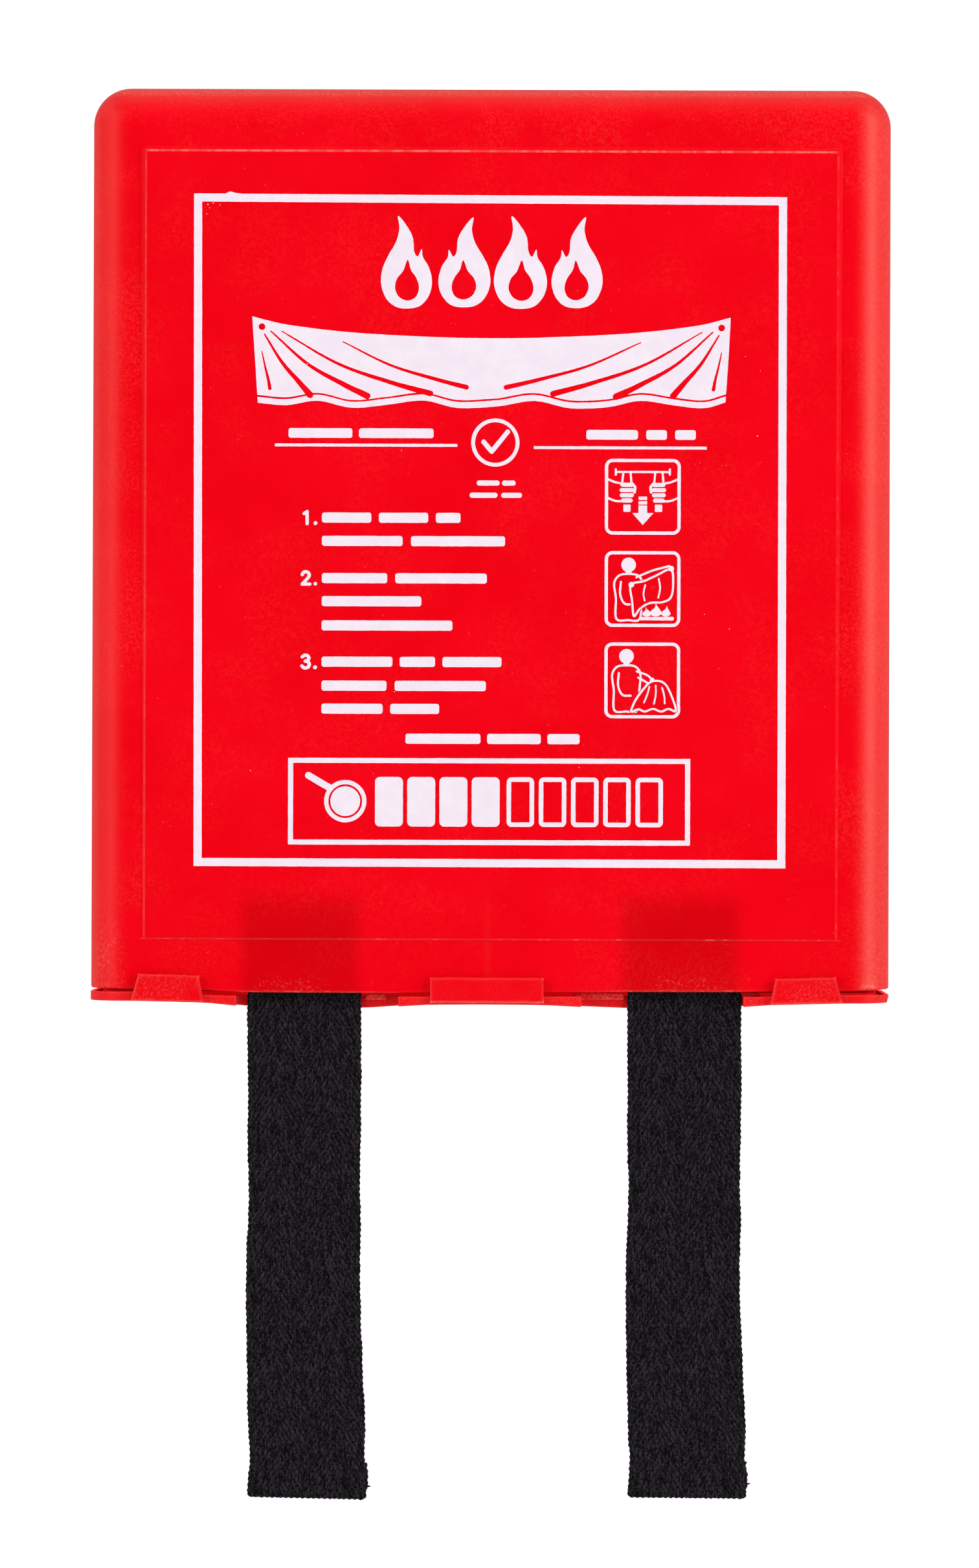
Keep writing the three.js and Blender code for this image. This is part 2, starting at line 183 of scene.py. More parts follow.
class Signal:
    """A node output that can be used in formulas; every operation adds a node."""

    def __init__(self, nodes, socket):
        self.nodes, self.socket = nodes, socket

    __add__ = operator("ADD")
    __radd__ = operator("ADD", swapped=True)
    __sub__ = operator("SUBTRACT")
    __rsub__ = operator("SUBTRACT", swapped=True)
    __mul__ = operator("MULTIPLY")
    __truediv__ = operator("DIVIDE")
    __mod__ = operator("MODULO")
    __pow__ = operator("POWER")
    __abs__ = operator("ABSOLUTE")
    max = operator("MAXIMUM")
    min = operator("MINIMUM")
    floor = operator("FLOOR")
    fract = operator("FRACT")
    sqrt = operator("SQRT")
    sine = operator("SINE")
    cosine = operator("COSINE")

    def ramp(self, start, end, low, high, interpolation="LINEAR"):
        inputs = {"Value": self, "From Min": start, "From Max": end, "To Min": low, "To Max": high}
        return self.nodes.make(
            "ShaderNodeMapRange", inputs, "Result", interpolation_type=interpolation)

    def step(self, start, end, low=0.0, high=1.0):
        """low at start, high at end, smooth between; start may be above end."""
        if start > end:
            start, end, low, high = end, start, high, low
        return self.ramp(start, end, low, high, "SMOOTHSTEP")

    def xyz(self):
        node = self.nodes.add("ShaderNodeSeparateXYZ", {0: self})
        return [Signal(self.nodes, socket) for socket in node.outputs]

    def stretched(self, x, y, z):
        return self.nodes.make("ShaderNodeMapping", {0: self, "Scale": (x, y, z)})

    def noise(self, scale, detail=2.0, rough=0.5):
        inputs = {"Vector": self, "Scale": scale, "Detail": detail, "Roughness": rough}
        return self.nodes.make("ShaderNodeTexNoise", inputs, "Fac")

    def cells(self, scale):
        """Distance to the nearest of scattered points."""
        return self.nodes.make("ShaderNodeTexVoronoi", {"Vector": self, "Scale": scale}, "Distance")

    def random(self, dimensions):
        """One random value per point."""
        return self.nodes.make(
            "ShaderNodeTexWhiteNoise", {"Vector": self}, "Value", noise_dimensions=dimensions)

    def bump(self, distance, strength):
        inputs = {"Height": self, "Distance": distance, "Strength": strength}
        return self.nodes.make("ShaderNodeBump", inputs)


class Nodes:
    """Empty node tree of a material or world."""

    def __init__(self, owner):
        owner.use_nodes = True
        self.tree = owner.node_tree
        self.tree.nodes.clear()

    def put(self, socket, value):
        if isinstance(value, Signal):
            self.tree.links.new(value.socket, socket)
        elif isinstance(value, tuple) and len(value) == 3 and len(socket.default_value) == 4:
            socket.default_value = (*value, 1)
        else:
            socket.default_value = value

    def add(self, kind, inputs, **settings):
        node = self.tree.nodes.new(kind)
        for key, value in settings.items():
            setattr(node, key, value)
        for key, value in inputs.items():
            self.put(node.inputs[key], value)
        return node

    def make(self, kind, inputs={}, output=0, **settings):
        return Signal(self, self.add(kind, inputs, **settings).outputs[output])

    def mix(self, factor, first, second):
        return self.make("ShaderNodeMix", {0: factor, 6: first, 7: second}, 2, data_type="RGBA")

    def object_place(self):
        return self.make("ShaderNodeTexCoord", output="Object")

    def weave_place(self):
        return self.make("ShaderNodeUVMap", uv_map="weave")

    def attribute(self, name):
        return self.make("ShaderNodeAttribute", output="Fac", attribute_name=name)


class Material(Nodes):
    """Material with a Principled shader."""

    def __init__(self, name):
        self.material = bpy.data.materials.new(name)
        super().__init__(self.material)
        self.shader = self.add("ShaderNodeBsdfPrincipled", {})
        self.add("ShaderNodeOutputMaterial", {0: Signal(self, self.shader.outputs[0])})

    def set(self, **values):
        for key, value in values.items():
            self.put(self.shader.inputs[key.replace("_", " ")], value)
        return self.material


# ------------------------------------------------------------------ materials
class RedPlastic(Material):
    def __init__(self, name):
        super().__init__(name)
        place = self.place = self.object_place()
        flow = place.noise(scale=42, detail=3, rough=0.55).step(0.35, 0.68)
        base = self.mix(flow, (0.86, 0.0004, 0.0062), (0.905, 0.0008, 0.0088))
        grain = place.noise(scale=3600, detail=3, rough=0.6)
        base = self.mix(grain.step(0.45, 0.85) * 0.35, base, (0.93, 0.006, 0.014))
        pits = place.cells(scale=720).step(0.16, 0.07)
        speck = pits * place.noise(scale=260, detail=1).step(0.60, 0.70)
        self.base = self.mix(speck * 0.35, base, (0.95, 0.12, 0.12))
        self.rough = 0.34 + place.noise(scale=120, detail=4, rough=0.6) * 0.16
        self.height = grain * 0.5 + place.noise(scale=900) * 0.5
        drawn = place.stretched(0.35, 1, 1)
        self.scratches = drawn.noise(scale=2300, detail=3, rough=0.7).step(0.50, 0.62)

    def finish(self, whitening_and_highlight, tint):
        """Whiten and dull the given places: real rubbing, and painted highlights."""
        return self.set(
            Base_Color=self.mix(whitening_and_highlight, self.base, (0.96, 0.31, 0.245)),
            Roughness=self.rough + whitening_and_highlight * 0.25,
            Specular_IOR_Level=0.42,
            Specular_Tint=tint,
            Normal=self.height.bump(distance=0.00002, strength=0.55),
        )


def red_shell():
    """Material of the front shell, and the node that has to be given the blanket as its object."""
    red = RedPlastic("red_plastic_shell")
    place = red.place
    x, y, z = place.xyz()

    # the dark tapes show faintly through the wall; measured in the blanket's own frame,
    # so that the shade leaves with the tapes
    blanket_place = red.object_place()
    tape_x, _, tape_z = blanket_place.xyz()
    from_tape = abs(abs(tape_x) - 0.0421)
    front = y.step(-0.0300, -0.0315)
    behind = from_tape.step(0.0152, 0.0104) * tape_z.step(-0.0765, -0.0835) * front
    uneven = 0.80 + place.noise(scale=70) * 0.3
    red.base = red.mix(behind * (uneven * 0.52), red.base, (0.50, 0.0002, 0.0014))

    # painted highlight along the raised panel's edge, with some real rubbing: a thin pale line at
    # its foot, head and sides, broken in patches
    level = place.stretched(1, 0.1, 0.1)
    foot = abs(z + 0.08892).step(0.00022, 0.00008) * abs(x).step(0.0781, 0.0773)
    patchy = level.noise(scale=230, detail=4, rough=0.7).step(0.50, 0.68)
    foot = foot * (0.07 + patchy * (0.22 + x.step(0.0, 0.03) * 0.30))
    head = abs(z - 0.08602).step(0.00034, 0.00016) * abs(x).step(0.0770, 0.0762)
    level = place.stretched(1, 0.1, 0.1)
    patchy = level.noise(scale=480, detail=3, rough=0.7).step(0.42, 0.60)
    head = head * (0.17 + patchy * 0.34)
    between = z.step(-0.0889, -0.0882) * z.step(0.0864, 0.0856)
    sides = abs(abs(x) - 0.07685).step(0.00030, 0.00012) * between
    upright = place.stretched(0.1, 0.1, 1)
    patchy = upright.noise(scale=420, detail=3, rough=0.7).step(0.48, 0.66)
    sides = sides * (0.01 + x.step(0.01, -0.01) * 0.075 + patchy * 0.09)

    # a fine pale mottle, strongest on the border round the panel and weaker near the bottom
    fine = place.noise(scale=1700, detail=3, rough=0.75).step(0.44, 0.62)
    patch = place.noise(scale=55, detail=3, rough=0.6).step(0.38, 0.66)
    panel = abs(x).step(0.0775, 0.0760) * z.step(-0.0897, -0.0882) * z.step(0.0870, 0.0855)
    mottle = fine * (0.006 + patch * 0.12) * (1.0 - panel * 0.55)
    mottle = mottle * (1.0 - z.step(-0.080, -0.0885) * 0.55)
    red.base = red.mix(mottle, red.base, (0.93, 0.105, 0.050))
    shell_rub_and_highlight = foot.max(head).max(sides) * front

    # rubbed bottom rim, most of all beside the tapes, with pale flecks there
    low = red.attribute("rim")
    by_tape = abs(abs(x) - 0.0415).step(0.017, 0.011)
    rim = low.step(0.15, 0.75) * (0.02 + by_tape * (0.05 + red.scratches * 0.26))
    near_rim = z.step(-0.0962, -0.0990) * abs(abs(x) - 0.044).step(0.010, 0.004)
    flecks = place.noise(scale=1900, rough=0.7).step(0.58, 0.66) * near_rim
    shell_rub_and_highlight = shell_rub_and_highlight.max(rim.max(flecks * 0.16))

    # haze low on the front
    haze = place.noise(scale=210, detail=5, rough=0.75).step(0.56, 0.74) * z.step(-0.080, -0.0985)
    dots = place.noise(scale=1500, rough=0.7).step(0.52, 0.70)
    shell_rub_and_highlight = shell_rub_and_highlight.max(haze * (dots * 0.035))

    # broken pale speckle on the rolled sides and top, stronger low down, partly real rubbing and
    # partly painted highlight; the right-hand roll also gets an even painted highlight
    rolled = abs(x).step(0.0795, 0.0850).max(z.step(0.0945, 0.0988))
    tooth = place.noise(scale=1100, detail=4, rough=0.75).step(0.50, 0.66)
    tooth = tooth * (0.022 + z.step(-0.078, -0.0985) * 0.20)
    shell_rub_and_highlight = shell_rub_and_highlight.max(rolled * (tooth + x.step(0.060, 0.090) * 0.018))

    # painted highlight, paler, on the outermost turn of the rolled edges: right, left, top, top left
    # corner
    edge_highlight = x.step(0.0805, 0.0830) * 0.045 + x.step(0.0855, 0.0880) * 0.065
    edge_highlight = edge_highlight.max(x.step(-0.0866, -0.0880) * 0.075)
    edge_highlight = edge_highlight.max(z.step(0.0980, 0.0995) * 0.21)
    edge_highlight = edge_highlight.max(x.step(-0.0835, -0.0852) * z.step(0.0925, 0.0955) * 0.060)
    shell_rub_and_highlight = shell_rub_and_highlight.max(edge_highlight * y.step(-0.0225, -0.0290) * (0.45 + fine * 0.95))

    # the knocked corner at the bottom right
    from_corner = (((x - 0.0842) * 0.8) ** 2.0 + (z + 0.0992) ** 2.0).sqrt()
    shell_rub_and_highlight = shell_rub_and_highlight.max(from_corner.step(0.0024, 0.0003) * (0.15 + fine * 0.85) * 0.42)

    # gate mark low on the centre line
    gate = abs(x + 0.0005).step(0.0011, 0.0002) * (z.step(-0.074, -0.090) * 0.010)
    shell_rub_and_highlight = shell_rub_and_highlight.max(gate * front)

    # the highlights' tint: flat front, rolled edges further back, then their left, right and top
    sheen = x.step(0.078, 0.084).max(z.step(0.0955, 0.0985))
    ahead = y.step(-0.0225, -0.0290)
    calm = x.step(-0.0868, -0.0850)
    left_tint = red.mix(calm, (1.0, 0.62, 0.44), (1.0, 0.40, 0.36))
    edge_tint = red.mix(sheen, left_tint, (1.0, 0.98, 0.76))
    edge_tint = red.mix(ahead, (1.0, 0.28, 0.22), edge_tint)
    tint = red.mix(rolled, (1.0, 0.02, 0.05), edge_tint)

    # painted glow: emission on the inner sheet stands in for daylight coming through the thin wall,
    # which makes the inside glow red
    glow = red.attribute("inner") * 0.13
    red.set(Emission_Color=(1.0, 0.002, 0.006), Emission_Strength=glow)
    return red.finish(shell_rub_and_highlight, tint), blanket_place.socket.node


def red_part(name, edge_rub_and_highlight, cover, grit, calm_middle=False, daylight=False):
    """Red plastic of a small part.

    Its edges are whitened, for real rubbing and as a painted highlight along them; cover whitens all
    of it evenly and grit all of it in patches;
    calm_middle keeps grit off the parts near x = 0, daylight paints a glow, as emission, onto upper
    faces seen at a grazing angle.
    """
    red = RedPlastic(name)
    place = red.place
    rounded = red.make("ShaderNodeBevel", {"Radius": 0.0007}, samples=4)
    normal = red.make("ShaderNodeNewGeometry", output="Normal")
    same = red.make(
        "ShaderNodeVectorMath", {0: rounded, 1: normal}, "Value", operation="DOT_PRODUCT")
    # pale edges: real rubbing, and a painted highlight along them
    whitening_and_highlight = same.step(0.985, 0.88) * (edge_rub_and_highlight + red.scratches * 0.20)
    if calm_middle:
        x = place.xyz()[0]
        grit = (0.25 + abs(x).step(0.016, 0.022) * 0.75) * grit
    dots = place.noise(scale=1900, detail=4, rough=0.75).step(0.46, 0.66)
    patches = place.noise(scale=170, detail=3, rough=0.6).step(0.30, 0.62)
    whitening_and_highlight = whitening_and_highlight.max(cover + dots * patches * grit)
    if daylight:
        # painted glow: emission on upper faces seen at a grazing angle
        up = normal.xyz()[2]
        grazing = red.make("ShaderNodeLayerWeight", output="Facing").step(0.80, 0.94)
        glow = up.step(0.5, 0.9) * (grazing * 0.48)
        red.set(Emission_Color=(1.0, 0.002, 0.006), Emission_Strength=glow)
    return red.finish(whitening_and_highlight, (1.0, 0.16, 0.14))


def white_ink():
    """Slightly uneven ink, thin enough in spots for the red to come through."""
    ink = Material("white_ink")
    place = ink.object_place()
    shade = place.noise(scale=300, detail=4, rough=0.6).step(0.3, 0.7)
    base = ink.mix(shade, (0.870, 0.762, 0.860), (0.905, 0.812, 0.900))
    thin = place.noise(scale=2100, detail=3, rough=0.7).step(0.60, 0.74) * 0.16
    return ink.set(
        Base_Color=ink.mix(thin, base, (0.90, 0.35, 0.40)),
        Roughness=0.42 + place.noise(scale=700, detail=3) * 0.15,
        Specular_IOR_Level=0.35,
        Normal=place.noise(scale=2600, detail=3).bump(distance=0.00001, strength=0.6),
    )


def tape_cloth():
    """Herringbone cotton tape. The ribs are in the mesh; this adds yarns, their fuzz and lint."""
    band = 0.00625  # width of a herringbone band
    end = 0.0002875  # one warp yarn
    repeat = 0.00185  # one repeat of the twill, four picks
    cloth = Material("tape_twill")
    weave = cloth.weave_place()
    u, v, _ = weave.xyz()  # metres across from the tape's centre, and along it

    # which yarn this is, and where it stands in the twill's repeat
    yarn_index = ((u + 2 * band) / end).floor()
    across = (u + 2 * band) / end - yarn_index
    yarn_u = (yarn_index + 0.5) * end  # middle of this yarn, from the tape's left edge
    band_index = (yarn_u / band).floor()
    zigzag = band - abs(yarn_u % (2 * band) - band)
    phase = v / repeat + (zigzag / (4 * end) + band_index % 2.0 * 0.5)
    phase = phase + 64.25
    part = phase.fract()
    lot = cloth.make("ShaderNodeCombineXYZ", {0: yarn_index, 1: phase.floor()}).random("2D")

    # relief: arched warp yarns, the picks between them, and fuzz
    over = part.step(0.02, 0.12) * part.step(0.60, 0.48)
    yarn = (across * math.pi).sine()
    arch = (part / 0.6 * math.pi).sine()
    height = yarn * over * arch.max(0.0)
    pick = abs((v / repeat * (4 * math.pi)).sine())
    height = height + (1.0 - over) * pick * 0.35
    height = height + weave.stretched(1, 0.45, 1).noise(scale=9000, detail=3, rough=0.7) * 0.45

    # tone: raised yarns are paler and the hollows darker, painted light and shade on the relief;
    # each yarn differs, and specks lie over all
    tone = height.ramp(0.15, 1.2, 0.0, 0.95) * (0.35 + lot ** 1.6 * 1.35)
    tone = tone + (weave.noise(scale=1300, detail=3, rough=0.7) - 0.5) * 1.5
    tone = tone.min(1.15).max(0.0) ** 1.35
    cell = cloth.make(
        "ShaderNodeVectorMath", {0: weave.stretched(3600, 2900, 1)}, operation="FLOOR")
    tone = (tone + (cell.random("3D") - 0.5) * 0.55).max(0.0)
    cast = weave.noise(scale=620).step(0.42, 0.58)
    pale = cloth.mix(cast, (0.0450, 0.0350, 0.0465), (0.0400, 0.0362, 0.0430))
    base = cloth.mix(tone, (0.0020, 0.0014, 0.0021), pale)
    lint = weave.cells(scale=560).step(0.085, 0.04) * weave.noise(scale=420).step(0.72, 0.76)
    return cloth.set(
        Base_Color=cloth.mix(lint * 0.8, base, (0.24, 0.23, 0.25)),
        Roughness=0.80,
        Specular_IOR_Level=0.05,
        Sheen_Weight=0.02,
        Sheen_Roughness=0.45,
        Sheen_Tint=(0.55, 0.5, 0.56),
        Normal=height.bump(distance=0.00014, strength=0.8),
    )


def plied_thread(name, twist, dark, pale, roughness, specular):
    """Sewing thread with slanting plies, one every twist metres."""
    thread = Material(name)
    x, y, z = thread.object_place().xyz()
    ply = ((x + (z + y * 0.7)) * (2 * math.pi / twist)).sine()
    # painted shade: darker in the grooves between the plies, paler on their crowns
    return thread.set(
        Base_Color=thread.mix(ply.ramp(-1, 1, 0, 1), dark, pale),
        Roughness=roughness,
        Specular_IOR_Level=specular,
        Normal=ply.bump(distance=0.00005, strength=0.6),
    )


def glass_cloth():
    """Plain-woven glass fibre with the soft shine of filament yarn."""
    pitch = 0.00076  # from yarn to yarn, both ways
    cloth = Material("glass_cloth")
    weave = cloth.weave_place()
    u, v, _ = weave.xyz()
    a, b = u / pitch, v / pitch
    a_index, b_index = a.floor(), b.floor()
    warp_up = abs(a_index + b_index) % 2.0
    a_off = a - a_index - 0.5
    b_off = b - b_index - 0.5

    def yarn(across, along):
        """Height of a yarn that is round across and arched along."""
        section = (1.0 - (abs(across) * 2.05) ** 2.0).max(0.0).sqrt()
        return section * (along * math.pi).cosine()

    height = warp_up * yarn(a_off, b_off) + (1.0 - warp_up) * yarn(b_off, a_off)
    warp_filaments = weave.stretched(1, 0.06, 1).noise(scale=9000, rough=0.6)
    weft_filaments = weave.stretched(0.06, 1, 1).noise(scale=9000, rough=0.6)
    height = height + (warp_up * warp_filaments + (1.0 - warp_up) * weft_filaments) * 0.25
    # painted shade and light on the weave: darker in its hollows, paler on the yarn tops; a slow
    # uneven tone over it
    tone = height * 0.62 + weave.noise(scale=35, detail=4, rough=0.6) * 0.5
    base = cloth.mix(tone.max(0.0).min(1.0), (0.46, 0.42, 0.34), (0.86, 0.84, 0.77))
    # thicker yarns here and there, both ways
    long_slub = weave.stretched(1, 0.012, 1).noise(scale=700).step(0.66, 0.76)
    cross_slub = weave.stretched(0.012, 1, 1).noise(scale=700).step(0.66, 0.76)
    return cloth.set(
        Base_Color=cloth.mix(long_slub.max(cross_slub) * 0.16, base, (0.9, 0.88, 0.82)),
        Roughness=0.42 + (1.0 - height) * 0.22,
        Specular_IOR_Level=0.5,
        Sheen_Weight=0.15,
        Normal=height.bump(distance=0.00013, strength=0.85),
    )


RED_SHELL, TAPE_SHADE_NODE = red_shell()
RED = red_part("red_plastic_small", edge_rub_and_highlight=0.09, cover=0.0, grit=0.07)
RED_FLAP = red_part("red_plastic_flap", edge_rub_and_highlight=0.12, cover=0.020, grit=0.13, daylight=True)
RED_CUT = red_part("red_plastic_cut_edge", edge_rub_and_highlight=0.24, cover=0.05, grit=0.48)
RED_TAB = red_part("red_plastic_tab", edge_rub_and_highlight=0.30, cover=0.0, grit=0.13, calm_middle=True)
INK = white_ink()
TWILL = tape_cloth()
THREAD = plied_thread(
    "black_thread", twist=0.00055, dark=(0.0025, 0.0019, 0.0026), pale=(0.012, 0.010, 0.013),
    roughness=0.75, specular=0.12)
GLASS = glass_cloth()
GLASS_THREAD = plied_thread(
    "glass_thread", twist=0.0006, dark=(0.50, 0.46, 0.38), pale=(0.80, 0.77, 0.69),
    roughness=0.5, specular=0.5)

# ------------------------------------------------------------------ front shell
WALL = 2.0
ROLL = 8.5  # roll from the front into the sides and top, and the corner radius from the front
FLAT_X = HALF_WIDTH - ROLL
FLAT_Z = SHELL_TOP - ROLL
FACE_DEPTH = 34.6  # of the border round the panel, at the bottom
DRAFT = 0.9  # how much shallower the case is at the top
PANEL_HALF_X, PANEL_BOTTOM, PANEL_TOP = 76.6, -88.7, 85.75
PANEL_FLAT = -PANEL_Y - 0.02  # depth of the flat of the panel, which carries the print
RIM = 0.45  # radius of the wall's open edges
# how far the bottom edge bows down (x, drop); the right-hand end is turned up a little
BOTTOM_BOW = np.array([
    (-89, 0.06), (-80, 0.12), (-63, 0.42), (-54, 0.80), (-40, 0.86), (-22, 0.86), (-12, 0.74),
    (12, 0.60), (30, 0.50), (52, 0.46), (66, 0.34), (78, 0.20), (89, -0.15),
])


def lean(z):
    return 1 - (DRAFT / FACE_DEPTH) * (z - SHELL_BOTTOM) / (SHELL_TOP - SHELL_BOTTOM)


def lines(*runs):
    """Sorted grid lines from (start, end, step) runs."""
    values = []
    for start, end, step in runs:
        count = max(1, int(round((end - start) / step)))
        values.extend(np.linspace(start, end, count + 1).tolist())
    values = sorted(values)
    kept = [values[0]]
    for value in values[1:]:
        if value - kept[-1] > 1e-6:
            kept.append(value)
    return np.array(kept)


def smooth_min(a, b, blend):
    h = np.clip(0.5 + 0.5 * (b - a) / blend, 0, 1)
    return b * (1 - h) + a * h - blend * h * (1 - h)


def smooth_max(a, b, blend):
    return -smooth_min(-a, -b, blend)


def front_depth(x, z, inset):
    """Depth of the front wall; only the outer sheet (inset 0) has the raised panel."""
    # faint unevenness of a large thin moulding
    soft = 0.035 * noise(x / 31, z / 37, 3) + 0.02 * noise(x / 13 + 5, z / 15, 4)
    border = (FACE_DEPTH - inset) * lean(z)
    if inset:
        return border + soft
    out_x = np.abs(x) - PANEL_HALF_X
    out_z = np.maximum(z - PANEL_TOP, PANEL_BOTTOM - z)
    at_corner = (out_x > 0) & (out_z > 0)
    out = np.where(at_corner, np.hypot(out_x, out_z), np.maximum(out_x, out_z))
    top = -PANEL_Y
    raised = smooth_min(top, top - out, 0.16)
    depth = smooth_max(border, raised, 0.14)
    edge = np.minimum.reduce([
        smoothstep(0, 3, FLAT_X - np.abs(x)),
        smoothstep(0, 3, FLAT_Z - z),
        smoothstep(-3, -0.5, out),
    ])
    return depth + soft * 0.6 * edge - 0.02


# grid lines of the flat front, close together across the panel's edges
FRONT_X = lines(
    (-FLAT_X, -78.3, 0.9), (-78.3, -75.9, 0.14), (-75.9, 75.9, 2.6), (75.9, 78.3, 0.14),
    (78.3, FLAT_X, 0.9))
FRONT_Z = lines(
    (SHELL_BOTTOM + RIM, SHELL_BOTTOM + RIM + 0.6, 0.3), (SHELL_BOTTOM + RIM + 0.6, -89.7, 1.6),
    (-89.7, -88.2, 0.1), (-88.2, 85.3, 2.6), (85.3, 87.5, 0.11), (87.5, FLAT_Z, 0.8))
ROLL_STEPS, CORNER_STEPS, SIDE_STATIONS = 12, 14, 12


def shell_sheet(inset):
    """Outer (inset 0) or inner surface, as patches that share their border points."""
    radius = ROLL - inset
    face = FACE_DEPTH - inset
    # section from the flat's edge round the roll and back to the rim: outset and depth
    profile = [
        (radius * math.sin(a), face - radius * (1 - math.cos(a)))
        for a in np.linspace(0, np.pi / 2, ROLL_STEPS + 1)
    ]
    profile += [(radius, d) for d in np.linspace(profile[-1][1], RIM, SIDE_STATIONS)[1:]]
    profile = np.array(profile)

    def sweep(stations):
        along, outset = np.meshgrid(stations, profile[:, 0], indexing="ij")
        depth = np.meshgrid(stations, profile[:, 1], indexing="ij")[1]
        return along, outset, depth

    def patch(x, depth, z):
        return np.stack([x, -depth * lean(z), z], -1)

    x, z = np.meshgrid(FRONT_X, FRONT_Z, indexing="ij")
    # the flat meets the roll at the same depth
    edge = np.minimum.reduce(
        [smoothstep(0, 1.2, FLAT_X - np.abs(x)), smoothstep(0, 1.2, FLAT_Z - z)])
    depth = front_depth(x, z, inset) * edge + face * lean(z) * (1 - edge)
    patches = [(np.stack([x, -depth, z], -1), False)]
    z, outset, depth = sweep(FRONT_Z)
    for s in (-1, 1):
        patches.append((patch(s * (FLAT_X + outset), depth, z), s > 0))
    x, outset, depth = sweep(FRONT_X)
    patches.append((patch(x, depth, FLAT_Z + outset), False))
    turn, outset, depth = sweep(np.linspace(0, np.pi / 2, CORNER_STEPS + 1))
    for s in (-1, 1):
        x = s * (FLAT_X + outset * np.cos(turn))
        patches.append((patch(x, depth, FLAT_Z + outset * np.sin(turn)), s > 0))
    verts, faces, base = [], [], 0
    for points, flip in patches:
        m, n = points.shape[:2]
        faces.append(grid_faces(m, n, base, flip=flip))
        verts.append(points.reshape(-1, 3))
        base += m * n
    return np.concatenate(verts), np.concatenate(faces)


def rim_rings(outer, inner):
    """Rings of points that roll from the outer sheet's open border to the inner one's."""
    on_back = outer[:, 1] > -RIM - 0.05
    on_bottom = outer[:, 2] < SHELL_BOTTOM + RIM + 0.05
    outward = np.zeros_like(outer)
    outward[on_back, 1] = 1
    outward[on_bottom, 2] = -1
    span = inner - outer
    # the inner sheet's border stays level with the outer one's
    span[:, 1] = np.where(on_back, 0, span[:, 1])
    span[:, 2] = np.where(on_bottom, 0, span[:, 2])
    across = span / np.linalg.norm(span, axis=1, keepdims=True)
    turns = [math.radians(a) for a in (22.5, 45, 67.5, 90)]
    rings = [
        outer + across * RIM * (1 - math.cos(a)) + outward * RIM * math.sin(a) for a in turns]
    rings.append(outer + span * 0.5 + outward * RIM)
    rings += [
        inner - across * RIM * (1 - math.cos(a)) + outward * RIM * math.sin(a)
        for a in turns[::-1]]
    return rings


def build_shell():
    outer, faces = shell_sheet(0.0)
    inner, _ = shell_sheet(WALL)
    # weld the patches where they meet
    key = np.round(outer / 1e-4).astype(np.int64)
    _, first, welded = np.unique(key, axis=0, return_index=True, return_inverse=True)
    outer, inner = outer[first], inner[first]
    faces = [list(dict.fromkeys(face)) for face in welded.ravel()[faces].tolist()]
    faces = [face for face in faces if len(face) > 2]
    n = len(outer)
    # the open border of the outer sheet
    edges = dict.fromkeys(edge for face in faces for edge in zip(face, face[1:] + face[:1]))
    border = [(a, b) for a, b in edges if (b, a) not in edges]
    border_verts = sorted({a for a, _ in border})
    position = {vert: k for k, vert in enumerate(border_verts)}
    faces += [[i + n for i in reversed(face)] for face in faces]
    rings = rim_rings(outer[border_verts], inner[border_verts])
    size = len(border_verts)
    chain = [np.array(border_verts)]
    chain += [np.arange(size) + 2 * n + k * size for k in range(len(rings))]
    chain.append(chain[0] + n)
    for a, b in border:
        ka, kb = position[a], position[b]
        for near, far in zip(chain, chain[1:]):
            faces.append([near[kb], near[ka], far[ka], far[kb]])
    verts = np.concatenate([outer, inner] + rings)
    rim = np.clip((SHELL_BOTTOM + 0.62 - verts[:, 2]) / 0.5, 0, 1)
    # the long unsupported bottom edge bows down between the tabs
    bow = np.interp(verts[:, 0], BOTTOM_BOW[:, 0], BOTTOM_BOW[:, 1])
    near_front = smoothstep(12.0, 30.0, -verts[:, 1])
    fade = 1 - smoothstep(SHELL_BOTTOM + 1, SHELL_BOTTOM + 16, verts[:, 2])
    verts[:, 2] -= bow * near_front * fade
    shell = new_mesh("front_shell_moulding", verts, faces, RED_SHELL)
    is_inner = np.zeros(len(verts))
    is_inner[n : 2 * n] = 1.0
    for name, values in (("rim", rim), ("inner", is_inner)):
        attribute = shell.data.attributes.new(name, "FLOAT", "POINT")
        attribute.data.foreach_set("value", values.astype(np.float32))
    face_outward(shell)
    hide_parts("front_shell")
    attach(shell, "case")


build_shell()


